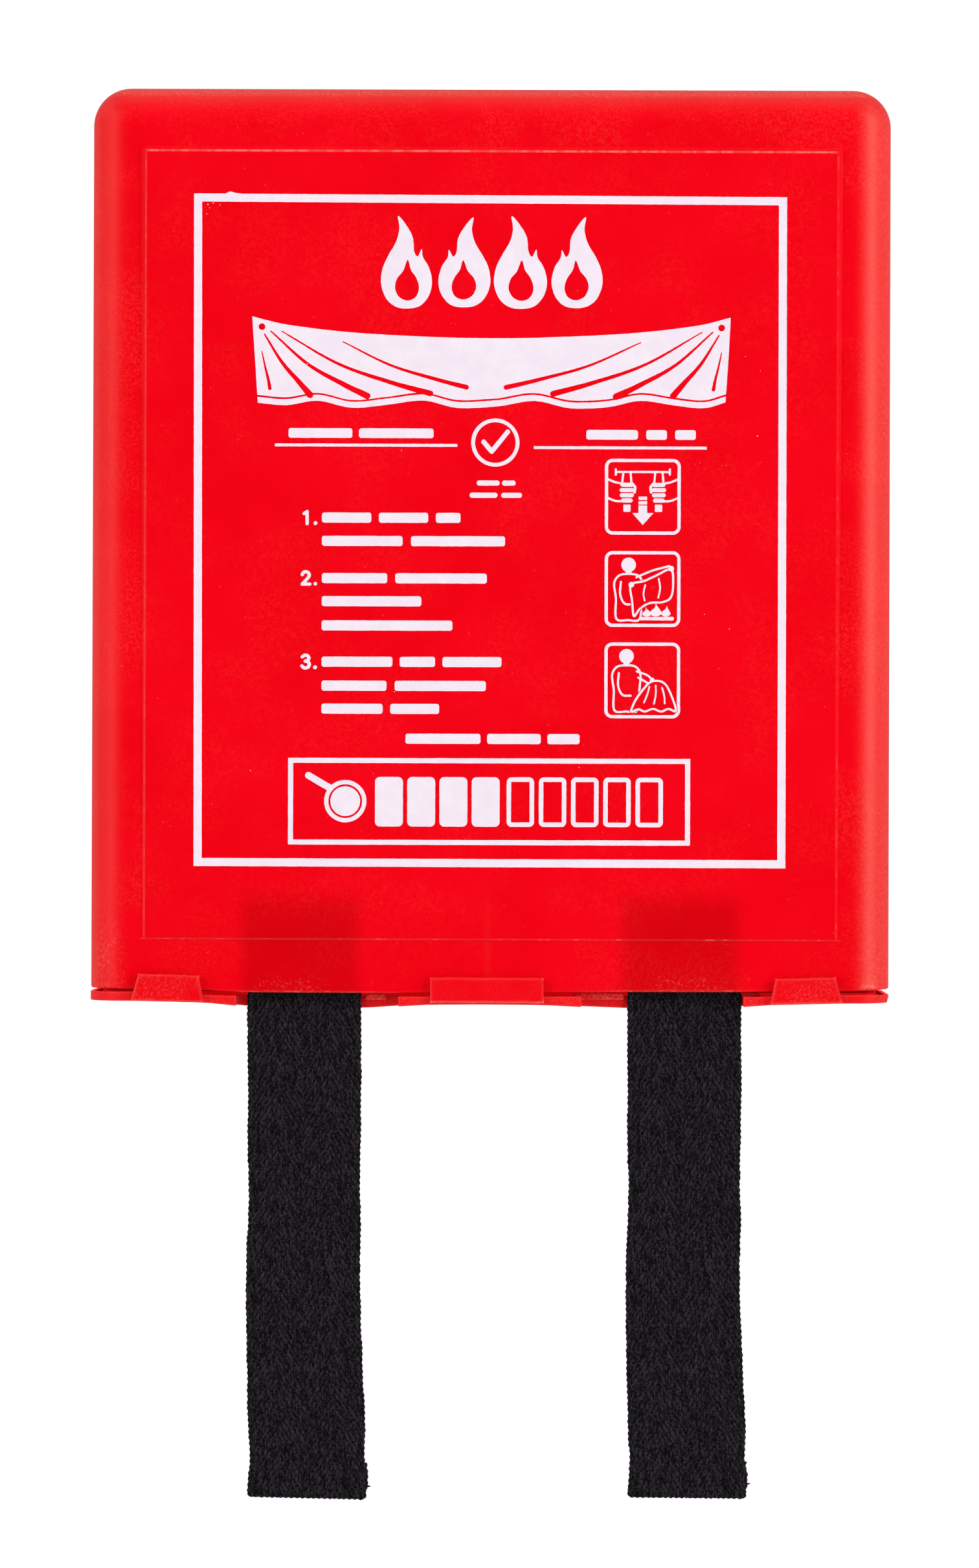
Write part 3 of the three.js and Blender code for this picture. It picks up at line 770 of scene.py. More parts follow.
# ------------------------------------------------------------------ mouldings from CAD solids
def from_cad(node, name, material, body, bevel, cuts=(), move=None):
    """A fresh mesh of a CAD node: flat faces merged, edges rounded, then cut and shaped.

    cuts are (direction, distances) of cutting planes; move maps a point to its new place.
    """
    bm = bmesh.new()
    bm.from_mesh(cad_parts[node].data)
    bmesh.ops.remove_doubles(bm, verts=bm.verts, dist=2e-6)
    bmesh.ops.dissolve_limit(bm, angle_limit=math.radians(1.0), verts=bm.verts, edges=bm.edges)
    sharp = [
        edge for edge in bm.edges
        if len(edge.link_faces) == 2 and edge.calc_face_angle(0) > math.radians(28)
    ]
    bmesh.ops.bevel(
        bm, geom=sharp, offset=bevel * MM, segments=3, profile=0.5, affect="EDGES",
        clamp_overlap=True)
    for direction, distances in cuts:
        for distance in distances:
            bmesh.ops.bisect_plane(
                bm, geom=bm.verts[:] + bm.edges[:] + bm.faces[:],
                plane_co=Vector(direction) * distance * MM, plane_no=Vector(direction), dist=1e-7)
    bmesh.ops.triangulate(bm, faces=[face for face in bm.faces if len(face.verts) > 4])
    if move:
        for vert in bm.verts:
            x, y, z = move(vert.co.x * 1000, vert.co.y * 1000, vert.co.z * 1000)
            vert.co = (x * MM, y * MM, z * MM)
    bmesh.ops.recalc_face_normals(bm, faces=bm.faces)
    mesh = bpy.data.meshes.new(name)
    bm.to_mesh(mesh)
    bm.free()
    mesh.polygons.foreach_set("use_smooth", [True] * len(mesh.polygons))
    mesh.materials.append(material)
    made = bpy.data.objects.new(name, mesh)
    bpy.context.scene.collection.objects.link(made)
    weighted = made.modifiers.new("normals", "WEIGHTED_NORMAL")
    weighted.mode = "FACE_AREA_WITH_ANGLE"
    weighted.weight = 90
    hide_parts(node)
    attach(made, body)


# The flap sags a little between its tabs: x, z of its bottom, z of its top, at the front lip.
FLAP_SAG = np.array([
    (-89.0, -102.80, -100.73), (-79.5, -102.76, -100.78), (-63.4, -103.08, -101.42),
    (-56.3, -103.78, -101.60), (-53.8, -103.98, -101.62), (-28.5, -104.42, -101.66),
    (-20.5, -103.84, -101.66), (-13.3, -103.42, -101.65), (0.0, -103.34, -101.60),
    (11.9, -103.42, -101.56), (19.5, -103.80, -101.54), (30.5, -104.22, -101.52),
    (55.4, -103.78, -101.50), (62.1, -103.30, -101.48), (78.2, -102.88, -101.02),
    (84.0, -102.88, -100.98), (89.0, -102.90, -101.12),
])


def flap_shape(x, y, z):
    low = np.interp(x, FLAP_SAG[:, 0], FLAP_SAG[:, 1])
    high = np.interp(x, FLAP_SAG[:, 0], FLAP_SAG[:, 2])
    t = (z - FLAP_LO[2]) / (FLAP_HI[2] - FLAP_LO[2])
    # the sag is at the front lip, the hinge side stays straight
    near_front = min(1.0, max(0.0, (-y - 3.0) / 24.0))
    target = low + (high - low) * t
    # the ends reach out a little
    x += 0.46 * math.copysign(float(smoothstep(60, 88, abs(x))), x)
    if x > 84:
        x -= 0.40 * (1 - t)  # the right-hand end is trimmed at a slant
    return x, y, z + (target - z) * near_front


from_cad("back_panel", "back_panel_moulding", RED, "case", bevel=0.25)
from_cad(
    "bottom_flap", "bottom_flap_moulding", RED_FLAP, "flap", bevel=0.18,
    cuts=[((1, 0, 0), range(-86, 87, 4)), ((0, -1, 0), (6.0, 11.0, 16.0, 21.0))],
    move=flap_shape)

# ------------------------------------------------------------------ latch tabs
# corners of each tab: bottom left, bottom right, top right, top left (x, z)
TABS = {
    "left": ((-79.6, -102.66), (-63.5, -103.00), (-64.5, -97.03), (-78.0, -96.71)),
    "centre": ((-13.2, -103.00), (11.95, -103.02), (11.93, -97.43), (-13.26, -97.35)),
    "right": ((62.2, -103.15), (78.2, -102.80), (76.67, -97.02), (63.34, -97.41)),
}
TAB_SEED = {"left": 3, "centre": 17, "right": 29}
TAB_BEVEL = {"left": 0.55, "centre": 1.30, "right": 0.65}  # height of the inner bottom bevel
TAB_ROUND = 0.26  # radius of the front edges


def latch_tab(side):
    """Four-sided plate with rounded edges, a raised rim along its sides and top, and a burr."""
    bottom_left, bottom_right, top_right, top_left = TABS[side]
    seed = TAB_SEED[side]
    y_in, y_out = TAB_HI[1], TAB_LO[1]
    across = np.concatenate(
        [[0, 0.003, 0.009, 0.02], np.linspace(0.035, 0.965, 60), [0.98, 0.991, 0.997, 1]])
    upward = np.concatenate([[0, 0.012, 0.035], np.linspace(0.08, 0.90, 26), [0.95, 0.975, 0.99, 1]])
    u, v = np.meshgrid(across, upward, indexing="ij")
    x, z = (
        (bottom_left[k] * (1 - u) + bottom_right[k] * u) * (1 - v)
        + (top_left[k] * (1 - u) + top_right[k] * u) * v
        for k in (0, 1)
    )
    width = (bottom_right[0] - bottom_left[0]) * (1 - v) + (top_right[0] - top_left[0]) * v
    height = (top_left[1] - bottom_left[1]) * (1 - u) + (top_right[1] - bottom_right[1]) * u
    # distances from the four edges, which are a little wavy
    left, right = u * width, (1 - u) * width
    top, bottom = (1 - v) * height, v * height
    x = x + 0.07 * noise(v * 9 + seed, 3, 8) * (np.exp(-left) - np.exp(-right))
    z = z + 0.06 * noise(u * 13 + seed, 9, 7) * np.exp(-top)
    z = z + 0.05 * noise(u * 11 + seed, 5, 6) * np.exp(-bottom)
    edge = np.minimum.reduce([left, right, top, bottom + 0.10])
    drop = np.maximum(TAB_ROUND - edge, 0) ** 2
    rounding = TAB_ROUND - np.sqrt(np.maximum(TAB_ROUND * TAB_ROUND - drop, 0))
    rim = 0.16 * np.exp(-((np.minimum(left, right) - 0.40) / 0.22) ** 2)
    rim = rim + 0.10 * np.exp(-((top - 0.40) / 0.22) ** 2)
    # burr near the top right corner
    burr = 0.30 * np.exp(
        -(((u - 0.985) * width / 0.5) ** 2 + ((v - 0.90) * height / 0.55) ** 2))
    warp = 0.06 * noise(x / 6, z / 4, 5 + seed) + 0.022 * noise(x / 0.9, z / 0.9, 6 + seed)
    # bowed a little, so that it doesn't lie dead flat on the shell
    bow = 0.12 * (1 - (2 * u - 1) ** 2)
    front = np.stack([x, y_out + rounding - rim - burr - warp - bow * v, z], -1)
    # the inner bottom edge is bevelled, to clear the lip when the tab folds out
    back_y = y_in - rounding * 0.8 - warp * 0.3 - bow * v * 0.6
    back = np.stack([x, back_y, z + TAB_BEVEL[side] * np.exp(-bottom / 2.2)], -1)
    tab = slab(f"{side}_latch_tab_moulding", front, back, RED_TAB)
    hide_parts(f"{side}_latch_tab")
    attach(tab, f"{side}_tab")


for side in TABS:
    latch_tab(side)


# ------------------------------------------------------------------ living hinges
def web(name, span, near, far, thickness, columns, rows, wing_x=None):
    """Thin strip of plastic from line near to line far, both (y, z), waisted where it bends.

    Beyond wing_x, if given, the strip starts lower.
    """
    s, x = np.meshgrid(np.linspace(0, 1, rows + 1), np.linspace(*span, columns), indexing="ij")
    near, far = np.array(near), np.array(far)
    along = (far - near) / np.linalg.norm(far - near)
    half = thickness / 2 * (0.62 + 0.38 * np.abs(2 * s - 1) ** 1.5)
    y = near[0] + (far - near)[0] * s
    z = near[1] + (far - near)[1] * s
    if wing_x:  # past the back panel's ends it passes under the side walls
        z = z + smoothstep(wing_x - 0.3, wing_x + 0.1, np.abs(x)) * (1 - s) * -1.1
    front = np.stack([x, y - along[1] * half, z + along[0] * half], -1)
    back = np.stack([x, y + along[1] * half, z - along[0] * half], -1)
    strip = slab(name, front, back, RED)
    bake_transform(strip)


web("flap_living_hinge", (-88.4, 88.4), (-1.3, -99.2), (-2.9, -102.3), thickness=0.5,
    columns=240, rows=12, wing_x=86.4)
for side, (bottom_left, bottom_right, _, _) in TABS.items():
    hinge_z = (bottom_left[1] + bottom_right[1]) / 2
    web(f"{side}_tab_living_hinge", (bottom_left[0] + 0.7, bottom_right[0] - 0.7),
        (-34.3, hinge_z + 0.25), (-35.9, hinge_z + 0.45), thickness=0.42,
        columns=16, rows=6)

# ------------------------------------------------------------------ tapes
TAPE_THICKNESS = 1.05
TAPE_Y = -31.0
TAPE_HALF = 12.5  # half the woven width
BAND = TAPE_HALF / 2  # width of one herringbone band
REPEAT_ALONG, REPEAT_ACROSS = 1.85, 1.15  # herringbone repeat
TAPE_TOP = box_mm("left_tape_root")[1][2]
HEM = 7.0
# x of each tape's left and right edge at the heights EDGE_Z
EDGE_Z = [
    -80, -104, -110.4, -117.9, -125.4, -132.9, -140.4, -144.1, -151.6, -159.1,
    -166.6, -174.1, -181.6, -189.1, -196.6, -200.4, -203.6, -206.2, -209.5, -214.5,
]
EDGES = {
    "left": (
        [-53.75, -53.8, -53.76, -53.62, -53.60, -53.68, -53.48, -53.27, -53.42, -53.82,
         -53.92, -53.84, -53.70, -53.55, -53.42, -53.20, -52.98, -52.92, -53.36, -53.62],
        [-28.8, -28.8, -28.78, -28.66, -28.68, -28.72, -28.84, -28.86, -28.66, -28.80,
         -28.84, -28.55, -28.24, -27.93, -27.55, -27.58, -27.62, -27.60, -27.44, -27.24],
    ),
    "right": (
        [30.75, 30.8, 30.78, 30.95, 30.92, 30.86, 31.06, 31.26, 31.05, 30.74,
         30.66, 30.72, 30.84, 31.00, 31.16, 31.36, 31.58, 31.62, 31.26, 30.98],
        [55.82, 55.82, 55.80, 55.93, 55.90, 55.88, 55.74, 55.70, 55.94, 55.76,
         55.76, 56.04, 56.36, 56.68, 57.06, 56.99, 56.93, 56.94, 57.08, 57.26],
    ),
}
# how low the folded end hangs at its left and right edge
DROP = {"left": (-213.35, -213.85), "right": (-213.0, -213.25)}
# noise seeds: left selvedge, right selvedge, drape
TAPE_SEEDS = {"left": (2, 4, 31), "right": (6, 8, 37)}


def edge_at(z, edge):
    """x of an edge, softened by averaging over a few millimetres."""
    return sum(np.interp(z + d, EDGE_Z[::-1], edge[::-1]) for d in (-1.6, -0.8, 0, 0.8, 1.6)) / 5


def tape_path(side):
    """Centre line (y, z), normal (y, z), distance and sideways shift along the tape.

    It runs down the front, round the fold and up the hem.
    """
    fold = TAPE_THICKNESS / 2 + 0.06
    z_turn = max(DROP[side]) + fold + TAPE_THICKNESS / 2
    step = 0.32

    def sway(z):
        t = np.clip((-104.5 - z) / 108.0, 0, 1)
        if side == "left":
            return -0.9 * t * t * np.sin(3.6 * t) - 0.25 * t
        return 0.8 * t * t * np.sin(4.3 * t + 0.4) - 0.45 * t

    down_z = np.linspace(TAPE_TOP, z_turn, int(round((TAPE_TOP - z_turn) / step)) + 1)
    down_y = TAPE_Y + sway(down_z)
    turn = np.linspace(0, np.pi, 8)[1:]
    turn_y = down_y[-1] + fold - fold * np.cos(turn)
    turn_z = z_turn - fold * np.sin(turn)
    up_z = np.linspace(z_turn, z_turn + HEM, int(round(HEM / step)) + 1)[1:]
    up = up_z - z_turn
    up_y = TAPE_Y + sway(up_z) + 2 * fold + 0.10 * np.sin(up / HEM * np.pi)
    y = np.concatenate([down_y, turn_y, up_y])
    z = np.concatenate([down_z, turn_z, up_z])
    # the part turned up behind comes out a little to the right, but not down at the fold
    up_shift = 0.50 * smoothstep(0.4, 2.2, up) + 0.10 * np.sin(up_z * 1.9)
    shift = np.concatenate([np.zeros_like(down_z), np.zeros_like(turn_z), up_shift])
    along_y, along_z = np.gradient(y), np.gradient(z)
    length = np.hypot(along_y, along_z)
    along_y, along_z = along_y / length, along_z / length
    distance = np.concatenate([[0], np.cumsum(np.hypot(np.diff(y), np.diff(z)))])
    return y, z, along_z, -along_y, distance, shift


def weave_drift(across, along):
    """How far the weave wanders, in repeats."""
    return 0.11 * noise(across / 1.7, along / 2.3, 41) + 0.07 * noise(across / 0.55, along / 0.8, 42)


def ribs(across, along):
    """Herringbone relief, about -1 to 1: four bands with the rib direction turning at each."""
    zigzag = BAND - np.abs((across + TAPE_HALF) % (2 * BAND) - BAND)
    half_step = 0.5 * (np.floor((across + TAPE_HALF) / BAND) % 2)
    phase = along / REPEAT_ALONG + zigzag / REPEAT_ACROSS + half_step + weave_drift(across, along)
    wave = np.cos(2 * np.pi * phase)
    return np.sign(wave) * np.abs(wave) ** 0.8 * (0.78 + 0.34 * noise(across / 0.6, along / 1.1, 43))


def tape(side):
    """Make a tape; returns the y and z of its hanging part, from the bottom up."""
    y, z, normal_y, normal_z, s, shift = tape_path(side)
    left_seed, right_seed, drape_seed = TAPE_SEEDS[side]
    left, right = (edge_at(z, edge) + shift for edge in EDGES[side])
    # the selvedges scallop with the weft
    left_wave = 0.10 * np.sin(2 * np.pi * s / 1.31) + 0.10 * noise(s / 1.7, left_seed, 12)
    right_wave = 0.10 * np.sin(2 * np.pi * s / 1.31 + 2) + 0.10 * noise(s / 1.9, right_seed, 13)
    left, right = left - left_wave - 0.17, right + right_wave + 0.13
    # section: front face, rounded right edge, back face, rounded left edge
    flat = np.linspace(-1, 1, 86)
    ones, none = np.ones(len(flat)), np.zeros(3)
    arc = np.radians([45, 0, -45])
    bulge = 0.028
    ring_u = np.concatenate(
        [flat, 1 + bulge * np.cos(arc), flat[::-1], -1 - bulge * np.cos(arc[::-1])])
    ring_out = np.concatenate([ones, np.sin(arc), -ones, np.sin(arc[::-1])])
    ring_face = np.concatenate([ones, none, -ones, none])
    along, u = np.meshgrid(s, ring_u, indexing="ij")
    middle = ((left + right) / 2)[:, None]
    half = ((right - left) / 2)[:, None]
    x = middle + u * half / (1 + bulge)
    across = u * TAPE_HALF
    from_edge = (1 - np.abs(u)) * TAPE_HALF
    relief = 0.135 * ribs(np.clip(across, -12.49, 12.49), along) * ring_face
    relief = relief * np.clip(from_edge / 0.7, 0, 1)
    cord = 0.06 * np.exp(-((from_edge - 0.6) / 0.4) ** 2) * ring_face
    fine = 0.03 * noise(u * 44, along / 0.37, 21) * ring_face
    out = ring_out * TAPE_THICKNESS / 2 + relief + cord + fine
    drape = 0.20 * noise(x / 14, along / 26, drape_seed) + 0.12 * (u ** 2) * noise(along / 40, 1, 33)
    # a drooping, slightly uneven hem
    drop_left, drop_right = DROP[side]
    lowest = max(DROP[side])
    droop = lowest - (drop_left + (drop_right - drop_left) * (u + 1) / 2)
    droop = droop * np.clip((along - (s[-1] - HEM - 6)) / 5, 0, 1)
    free = np.clip((-100 - z)[:, None] / 12, 0, 1)
    tape_y = y[:, None] + normal_y[:, None] * out + drape * free
    tape_z = z[:, None] + normal_z[:, None] * out - droop
    # the corners of the fold are rounded off
    low = np.clip((lowest + 1.6 - z[:, None]) / 1.6, 0, 1) ** 2
    tape_z = tape_z + low * 0.55 * np.clip((np.abs(u) - 0.955) / 0.045, 0, 1) ** 2
    m, n = x.shape
    faces = grid_faces(m, n, close_v=True).tolist()
    faces.append(list(range(n)))
    faces.append(list(range((m - 1) * n, m * n))[::-1])
    points = np.stack([x, tape_y, tape_z], -1).reshape(-1, 3)
    cloth = new_mesh(f"{side}_pull_tape_cloth", points, faces, TWILL)
    add_weave_uv(cloth.data, across, along + weave_drift(across, along) * REPEAT_ALONG)
    face_outward(cloth)
    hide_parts(f"{side}_tape_root", f"{side}_pull_tape")
    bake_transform(cloth)
    turn = int(np.argmin(z))
    return y[:turn][::-1], z[:turn][::-1]


# ------------------------------------------------------------------ sewing
FRONTWARD = np.array((0.0, -1.0, 0.0))


def stitch_mesh(name, stitches, radius, material):
    """Stitches (start, end) on cloth facing -Y: short threads that rise out and dive back in."""
    verts, faces = [], []
    rings, around = 9, 8
    for start, end in stitches:
        along = end - start
        length = np.linalg.norm(along)
        along = along / length
        sideways = np.cross(along, FRONTWARD)
        faces += tube_faces(rings, around, base=len(verts))
        for k in range(rings):
            t = k / (rings - 1)
            rise = radius * 1.25 * math.sin(math.pi * t) ** 0.6 - radius * 0.9
            centre = start + along * length * t + FRONTWARD * rise
            thick = radius * (0.55 + 0.45 * math.sin(math.pi * t) ** 0.5)
            thick = thick * (1 + 0.06 * math.sin(t * 22))
            for q in range(around):
                a = 2 * math.pi * q / around + t * 3.0
                round_out = FRONTWARD * math.cos(a) * thick * 0.85
                verts.append(centre + round_out + sideways * math.sin(a) * thick)
    made = new_mesh(name, np.array(verts), faces, material)
    face_outward(made)
    return made


def run_stitches(start, end, pitch=2.6, gap=0.45):
    """A straight row of stitches."""
    start, end = np.array(start, float), np.array(end, float)
    count = max(1, int(round(np.linalg.norm(end - start) / pitch)))
    step = (end - start) / count
    along = step / np.linalg.norm(step)
    return [
        (start + step * i + along * gap / 2, start + step * (i + 1) - along * gap / 2)
        for i in range(count)
    ]


def thread_tail(side, points):
    """Loose thread end: a tube along points that thins towards its end."""
    points = np.array(points, float)
    radius, thinned = 0.42, 0.12
    t = np.linspace(0, 1, 26)
    ends = np.concatenate([[2 * points[0] - points[1]], points, [2 * points[-1] - points[-2]]])
    pieces = len(points) - 1
    centre = []
    for value in t:
        i = min(int(value * pieces), pieces - 1)
        centre.append(catmull_rom(*ends[i : i + 4], value * pieces - i))
    centre = np.array(centre)
    along = np.gradient(centre, axis=0)
    along /= np.linalg.norm(along, axis=1, keepdims=True)
    first = np.cross(along, [0.13, 1, 0.21])
    first /= np.linalg.norm(first, axis=1, keepdims=True)
    second = np.cross(along, first)
    turn = np.linspace(0, 2 * np.pi, 8, endpoint=False)[None, :, None]
    thick = radius * (1 + (thinned - 1) * np.clip((t - 0.35) / 0.65, 0, 1))
    thick = (thick * (1 + 0.07 * np.sin(t * 40)))[:, None, None]
    ring = np.cos(turn) * first[:, None] + np.sin(turn) * second[:, None]
    verts = (centre[:, None] + thick * ring).reshape(-1, 3)
    made = new_mesh(f"{side}_thread_tail", verts, tube_faces(len(centre), 8), THREAD)
    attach(made, f"{side}_tape")


BOX_X = {"left": -41.3, "right": 43.0}  # centre of the sewn box
BOX_HALF, BOX_BOTTOM, BOX_TOP = 9, -96.6, -82.6
TAIL_Z = {"left": -210.9, "right": -209.9}
STITCH_OUT = TAPE_THICKNESS / 2 + 0.06  # stitches lie this far in front of the centre line

for side in ("left", "right"):
    tape_y, tape_z = tape(side)
    hem_x = (np.mean(EDGES[side][0][-3:]) + np.mean(EDGES[side][1][-3:])) / 2
    hem_z = max(DROP[side]) + HEM - 0.6
    hem_y = np.interp(hem_z, tape_z, tape_y) - STITCH_OUT
    row = run_stitches(
        (hem_x - 11.3, hem_y, hem_z - 0.25), (hem_x + 11.3, hem_y, hem_z + 0.1),
        pitch=2.5, gap=0.6)
    hem = stitch_mesh(f"{side}_hem_sewing", row, 0.13, THREAD)
    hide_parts(f"{side}_hem_stitch")
    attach(hem, f"{side}_tape")

    # box with both diagonals
    x0, x1, y = BOX_X[side] - BOX_HALF, BOX_X[side] + BOX_HALF, TAPE_Y - STITCH_OUT
    box = [(x0, y, BOX_BOTTOM), (x1, y, BOX_BOTTOM), (x1, y, BOX_TOP), (x0, y, BOX_TOP)]
    rows = []
    for i, j in ((0, 1), (1, 2), (2, 3), (3, 0), (0, 2), (1, 3)):
        rows += run_stitches(box[i], box[j])
    box_sewing = stitch_mesh(f"{side}_box_sewing", rows, 0.17, THREAD)
    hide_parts(f"{side}_box_stitch")
    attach(box_sewing, "blanket")

    # the cut end of the hem thread stands out of the right-hand edge
    x = EDGES[side][1][-2] + 0.30
    z = TAIL_Z[side]
    y = np.interp(z, tape_z, tape_y) + TAPE_THICKNESS / 2 + 0.05
    thread_tail(side, [
        (x - 1.6, y, z + 0.25), (x - 0.5, y + 0.05, z + 0.08), (x + 0.35, y + 0.05, z),
        (x + 1.0, y, z + 0.03)])

# ------------------------------------------------------------------ blanket
LAYERS = 6  # folds across, and again along
BLANKET_BACK, BLANKET_FRONT = -BLANKET_HI[1], -BLANKET_LO[1]
PANEL_PITCH = (BLANKET_FRONT - BLANKET_BACK) / LAYERS
PLY = PANEL_PITCH / LAYERS * 0.955
BLANKET_HALF = BLANKET_HI[0] - 0.35
FOLD_INSETS = [0.4, 0.25, 1.1, 0.5, 1.4, 0.2, 0.7]  # of the first edge, five folds, last edge
ACROSS_FINE, ALONG_FINE, COARSE = 58, 54, 16  # stations on visible and on hidden layers
# creases: direction (x, z), a point on each (x, z), height, width
CREASES = [
    (0.26, 0.97, 0, -35, 0.34, 1.7), (-0.34, 0.94, 10, 22, 0.30, 1.5),
    (0.97, -0.20, 24, 0, 0.30, 1.6), (0.92, 0.38, -37, 0, 0.26, 1.5),
]


def fold_across():
    """Stations of the sheet's first folding: x, offset through the strip, distance."""
    radius = PLY / 2
    stations = []
    run = 0.0
    for i in range(LAYERS):
        d = 1 if i % 2 == 0 else -1
        x0 = -d * (BLANKET_HALF - radius - FOLD_INSETS[i])
        x1 = d * (BLANKET_HALF - radius - FOLD_INSETS[i + 1])
        offset = (i - 2.5) * PLY
        for f in np.linspace(0, 1, ACROSS_FINE if i == LAYERS - 1 else COARSE):
            stations.append((x0 + (x1 - x0) * f, offset, run + abs(x1 - x0) * f))
        run += abs(x1 - x0)
        if i < LAYERS - 1:
            for a in (30, 60, 90, 120, 150):
                t = math.radians(a)
                fold_offset = offset + radius * (1 - math.cos(t))
                stations.append((x1 + d * radius * math.sin(t), fold_offset, run + radius * t))
            run += math.pi * radius
    return np.array(stations).T


def fold_along():
    """Stations of the strip's folding, from the front panel's free edge at the bottom.

    Depth and z of the centre line, its normal (depth, z), and distance. The normal looks
    forward on the way up, up over a top fold and back on the way down.
    """
    z_low, z_high = BLANKET_LO[2] + PANEL_PITCH, BLANKET_HI[2] - PANEL_PITCH
    radius = PANEL_PITCH / 2
    stations = []
    run = 0.0
    for j in range(LAYERS):
        depth = BLANKET_FRONT - PANEL_PITCH * (j + 0.5)
        d = 1.0 if j % 2 == 0 else -1.0
        start, end = (z_low, z_high) if d > 0 else (z_high, z_low)
        if j == 0:
            start = BLANKET_LO[2] + 0.4
        if j == LAYERS - 1:
            end = BLANKET_LO[2] + 0.8
        for f in np.linspace(0, 1, ALONG_FINE if j in (0, LAYERS - 1) else COARSE):
            stations.append((depth, start + (end - start) * f, d, 0.0, run + abs(end - start) * f))
        run += abs(end - start)
        if j < LAYERS - 1:
            for a in range(20, 161, 20):
                t = math.radians(a)
                stations.append((
                    depth - radius * (1 - math.cos(t)), end + d * radius * math.sin(t),
                    d * math.cos(t), math.sin(t), run + radius * t))
            run += math.pi * radius
    return np.array(stations).T


def puffiness(x, z):
    """Bulge and creases of the front of the pack."""
    centre = (BLANKET_LO[2] + BLANKET_HI[2]) / 2
    half = (BLANKET_HI[2] - BLANKET_LO[2]) / 2
    puff = 0.75 * np.clip(1 - (x / BLANKET_HALF) ** 2, 0, 1)
    puff = puff * np.clip(1 - ((z - centre) / half) ** 2, 0, 1)
    puff = puff + 0.42 * noise((x + 0.35 * z) / 27, (z - 0.2 * x) / 44, 55)
    puff = puff + 0.20 * noise((x - 0.5 * z) / 12, (z + 0.3 * x) / 19, 56)
    for normal_x, normal_z, at_x, at_z, height, width in CREASES:
        off = normal_x * (x - at_x) + normal_z * (z - at_z) + 1.6 * noise(x / 31, z / 29, 57)
        crease = np.exp(-(off / width) ** 2)
        puff = puff + height * crease * (0.55 + 0.45 * noise(x / 25, z / 23, 58))
    return np.clip(puff, -0.3, 1.6)


def hem_row(line):
    """Stitches along a line of points on the front of the pack."""
    length = np.concatenate([[0], np.cumsum(np.linalg.norm(np.diff(line, axis=0), axis=1))])
    count = int(length[-1] / 3.2)

    def at(distance):
        point = np.array([np.interp(distance, length, line[:, c]) for c in range(3)])
        return point + [0, -0.24, 0]

    return [
        (at(i * length[-1] / count + 0.35), at((i + 1) * length[-1] / count - 0.35))
        for i in range(count)
    ]


def blanket():
    """One sheet: folded in six across its width, and the six-ply strip in six along its length."""
    sheet_x, offset, across = fold_across()
    line_depth, line_z, normal_depth, normal_z, along = fold_along()
    offset = offset[None, :]
    depth = line_depth[:, None] + normal_depth[:, None] * offset
    z = line_z[:, None] + normal_z[:, None] * offset
    x = np.broadcast_to(sheet_x[None, :], depth.shape).copy()
    across_grid, along_grid = across[None, :], along[:, None]
    # folds wander a little along the strip, and the whole pack is slightly uneven
    near_side = np.clip((np.abs(x) - 70) / 12, 0, 1)
    wander = 0.35 + 0.35 * noise(along_grid / 55 + 3, across_grid / 90, 51)
    x = x - np.sign(x) * near_side * wander
    inside = np.clip((BLANKET_HALF - np.abs(x)) / 20, 0, 1)
    depth = depth + 0.16 * inside * noise(x / 26, z / 30, 52)
    depth = depth + 0.05 * noise(along_grid / 9, across_grid / 11, 53)
    # the front of the pack bulges and is creased, except where the tapes are sewn flat
    front = (depth - BLANKET_BACK) / (BLANKET_FRONT - BLANKET_BACK)
    front = np.clip(front, 0, 1) ** 1.5
    from_tape = np.maximum(np.abs(np.abs(x) - 42.1) - 14, z - (BLANKET_LO[2] + 20))
    away = 1 - np.exp(-(np.maximum(from_tape, 0) / 7) ** 2)
    depth = depth + front * away * puffiness(x, z)
    near_end = np.abs(z - (BLANKET_LO[2] + BLANKET_HI[2]) / 2) - 60
    z = z + 0.35 * noise(x / 33, depth / 9, 54) * np.clip(near_end / 20, 0, 1)
    points = np.stack([x, -depth, z], -1)
    # hem sewn on the outer ply of the front panel: up its free left side, along its free bottom
    outer = points[:ALONG_FINE, -ACROSS_FINE:][:, ::-1]  # from left to right
    hem_x = -(BLANKET_HALF - 9.0)
    hem_z = BLANKET_LO[2] + 9.5
    side_line = [[np.interp(hem_x, row[:, 0], row[:, c]) for c in range(3)] for row in outer]
    bottom_line = [
        [np.interp(hem_z, outer[:, k, 2], outer[:, k, c]) for c in range(3)]
        for k in range(outer.shape[1])
    ]
    stitches = hem_row(np.array(side_line)) + hem_row(np.array(bottom_line))
    sewing = stitch_mesh("blanket_hem_sewing", stitches, 0.16, GLASS_THREAD)
    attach(sewing, "blanket")
    m, n = depth.shape
    cloth = new_mesh("folded_glass_cloth", points.reshape(-1, 3), grid_faces(m, n), GLASS)
    add_weave_uv(
        cloth.data, np.broadcast_to(across_grid, (m, n)), np.broadcast_to(along_grid, (m, n)))
    solidify = cloth.modifiers.new("thickness", "SOLIDIFY")
    solidify.thickness = 0.00042
    solidify.offset = 0
    depsgraph = bpy.context.evaluated_depsgraph_get()
    thick = bpy.data.meshes.new_from_object(cloth.evaluated_get(depsgraph), depsgraph=depsgraph)
    cloth.modifiers.clear()
    cloth.data = thick
    thick.name = "folded_glass_cloth"
    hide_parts("folded_blanket")
    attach(cloth, "blanket")
    return cloth


TAPE_SHADE_NODE.object = blanket()


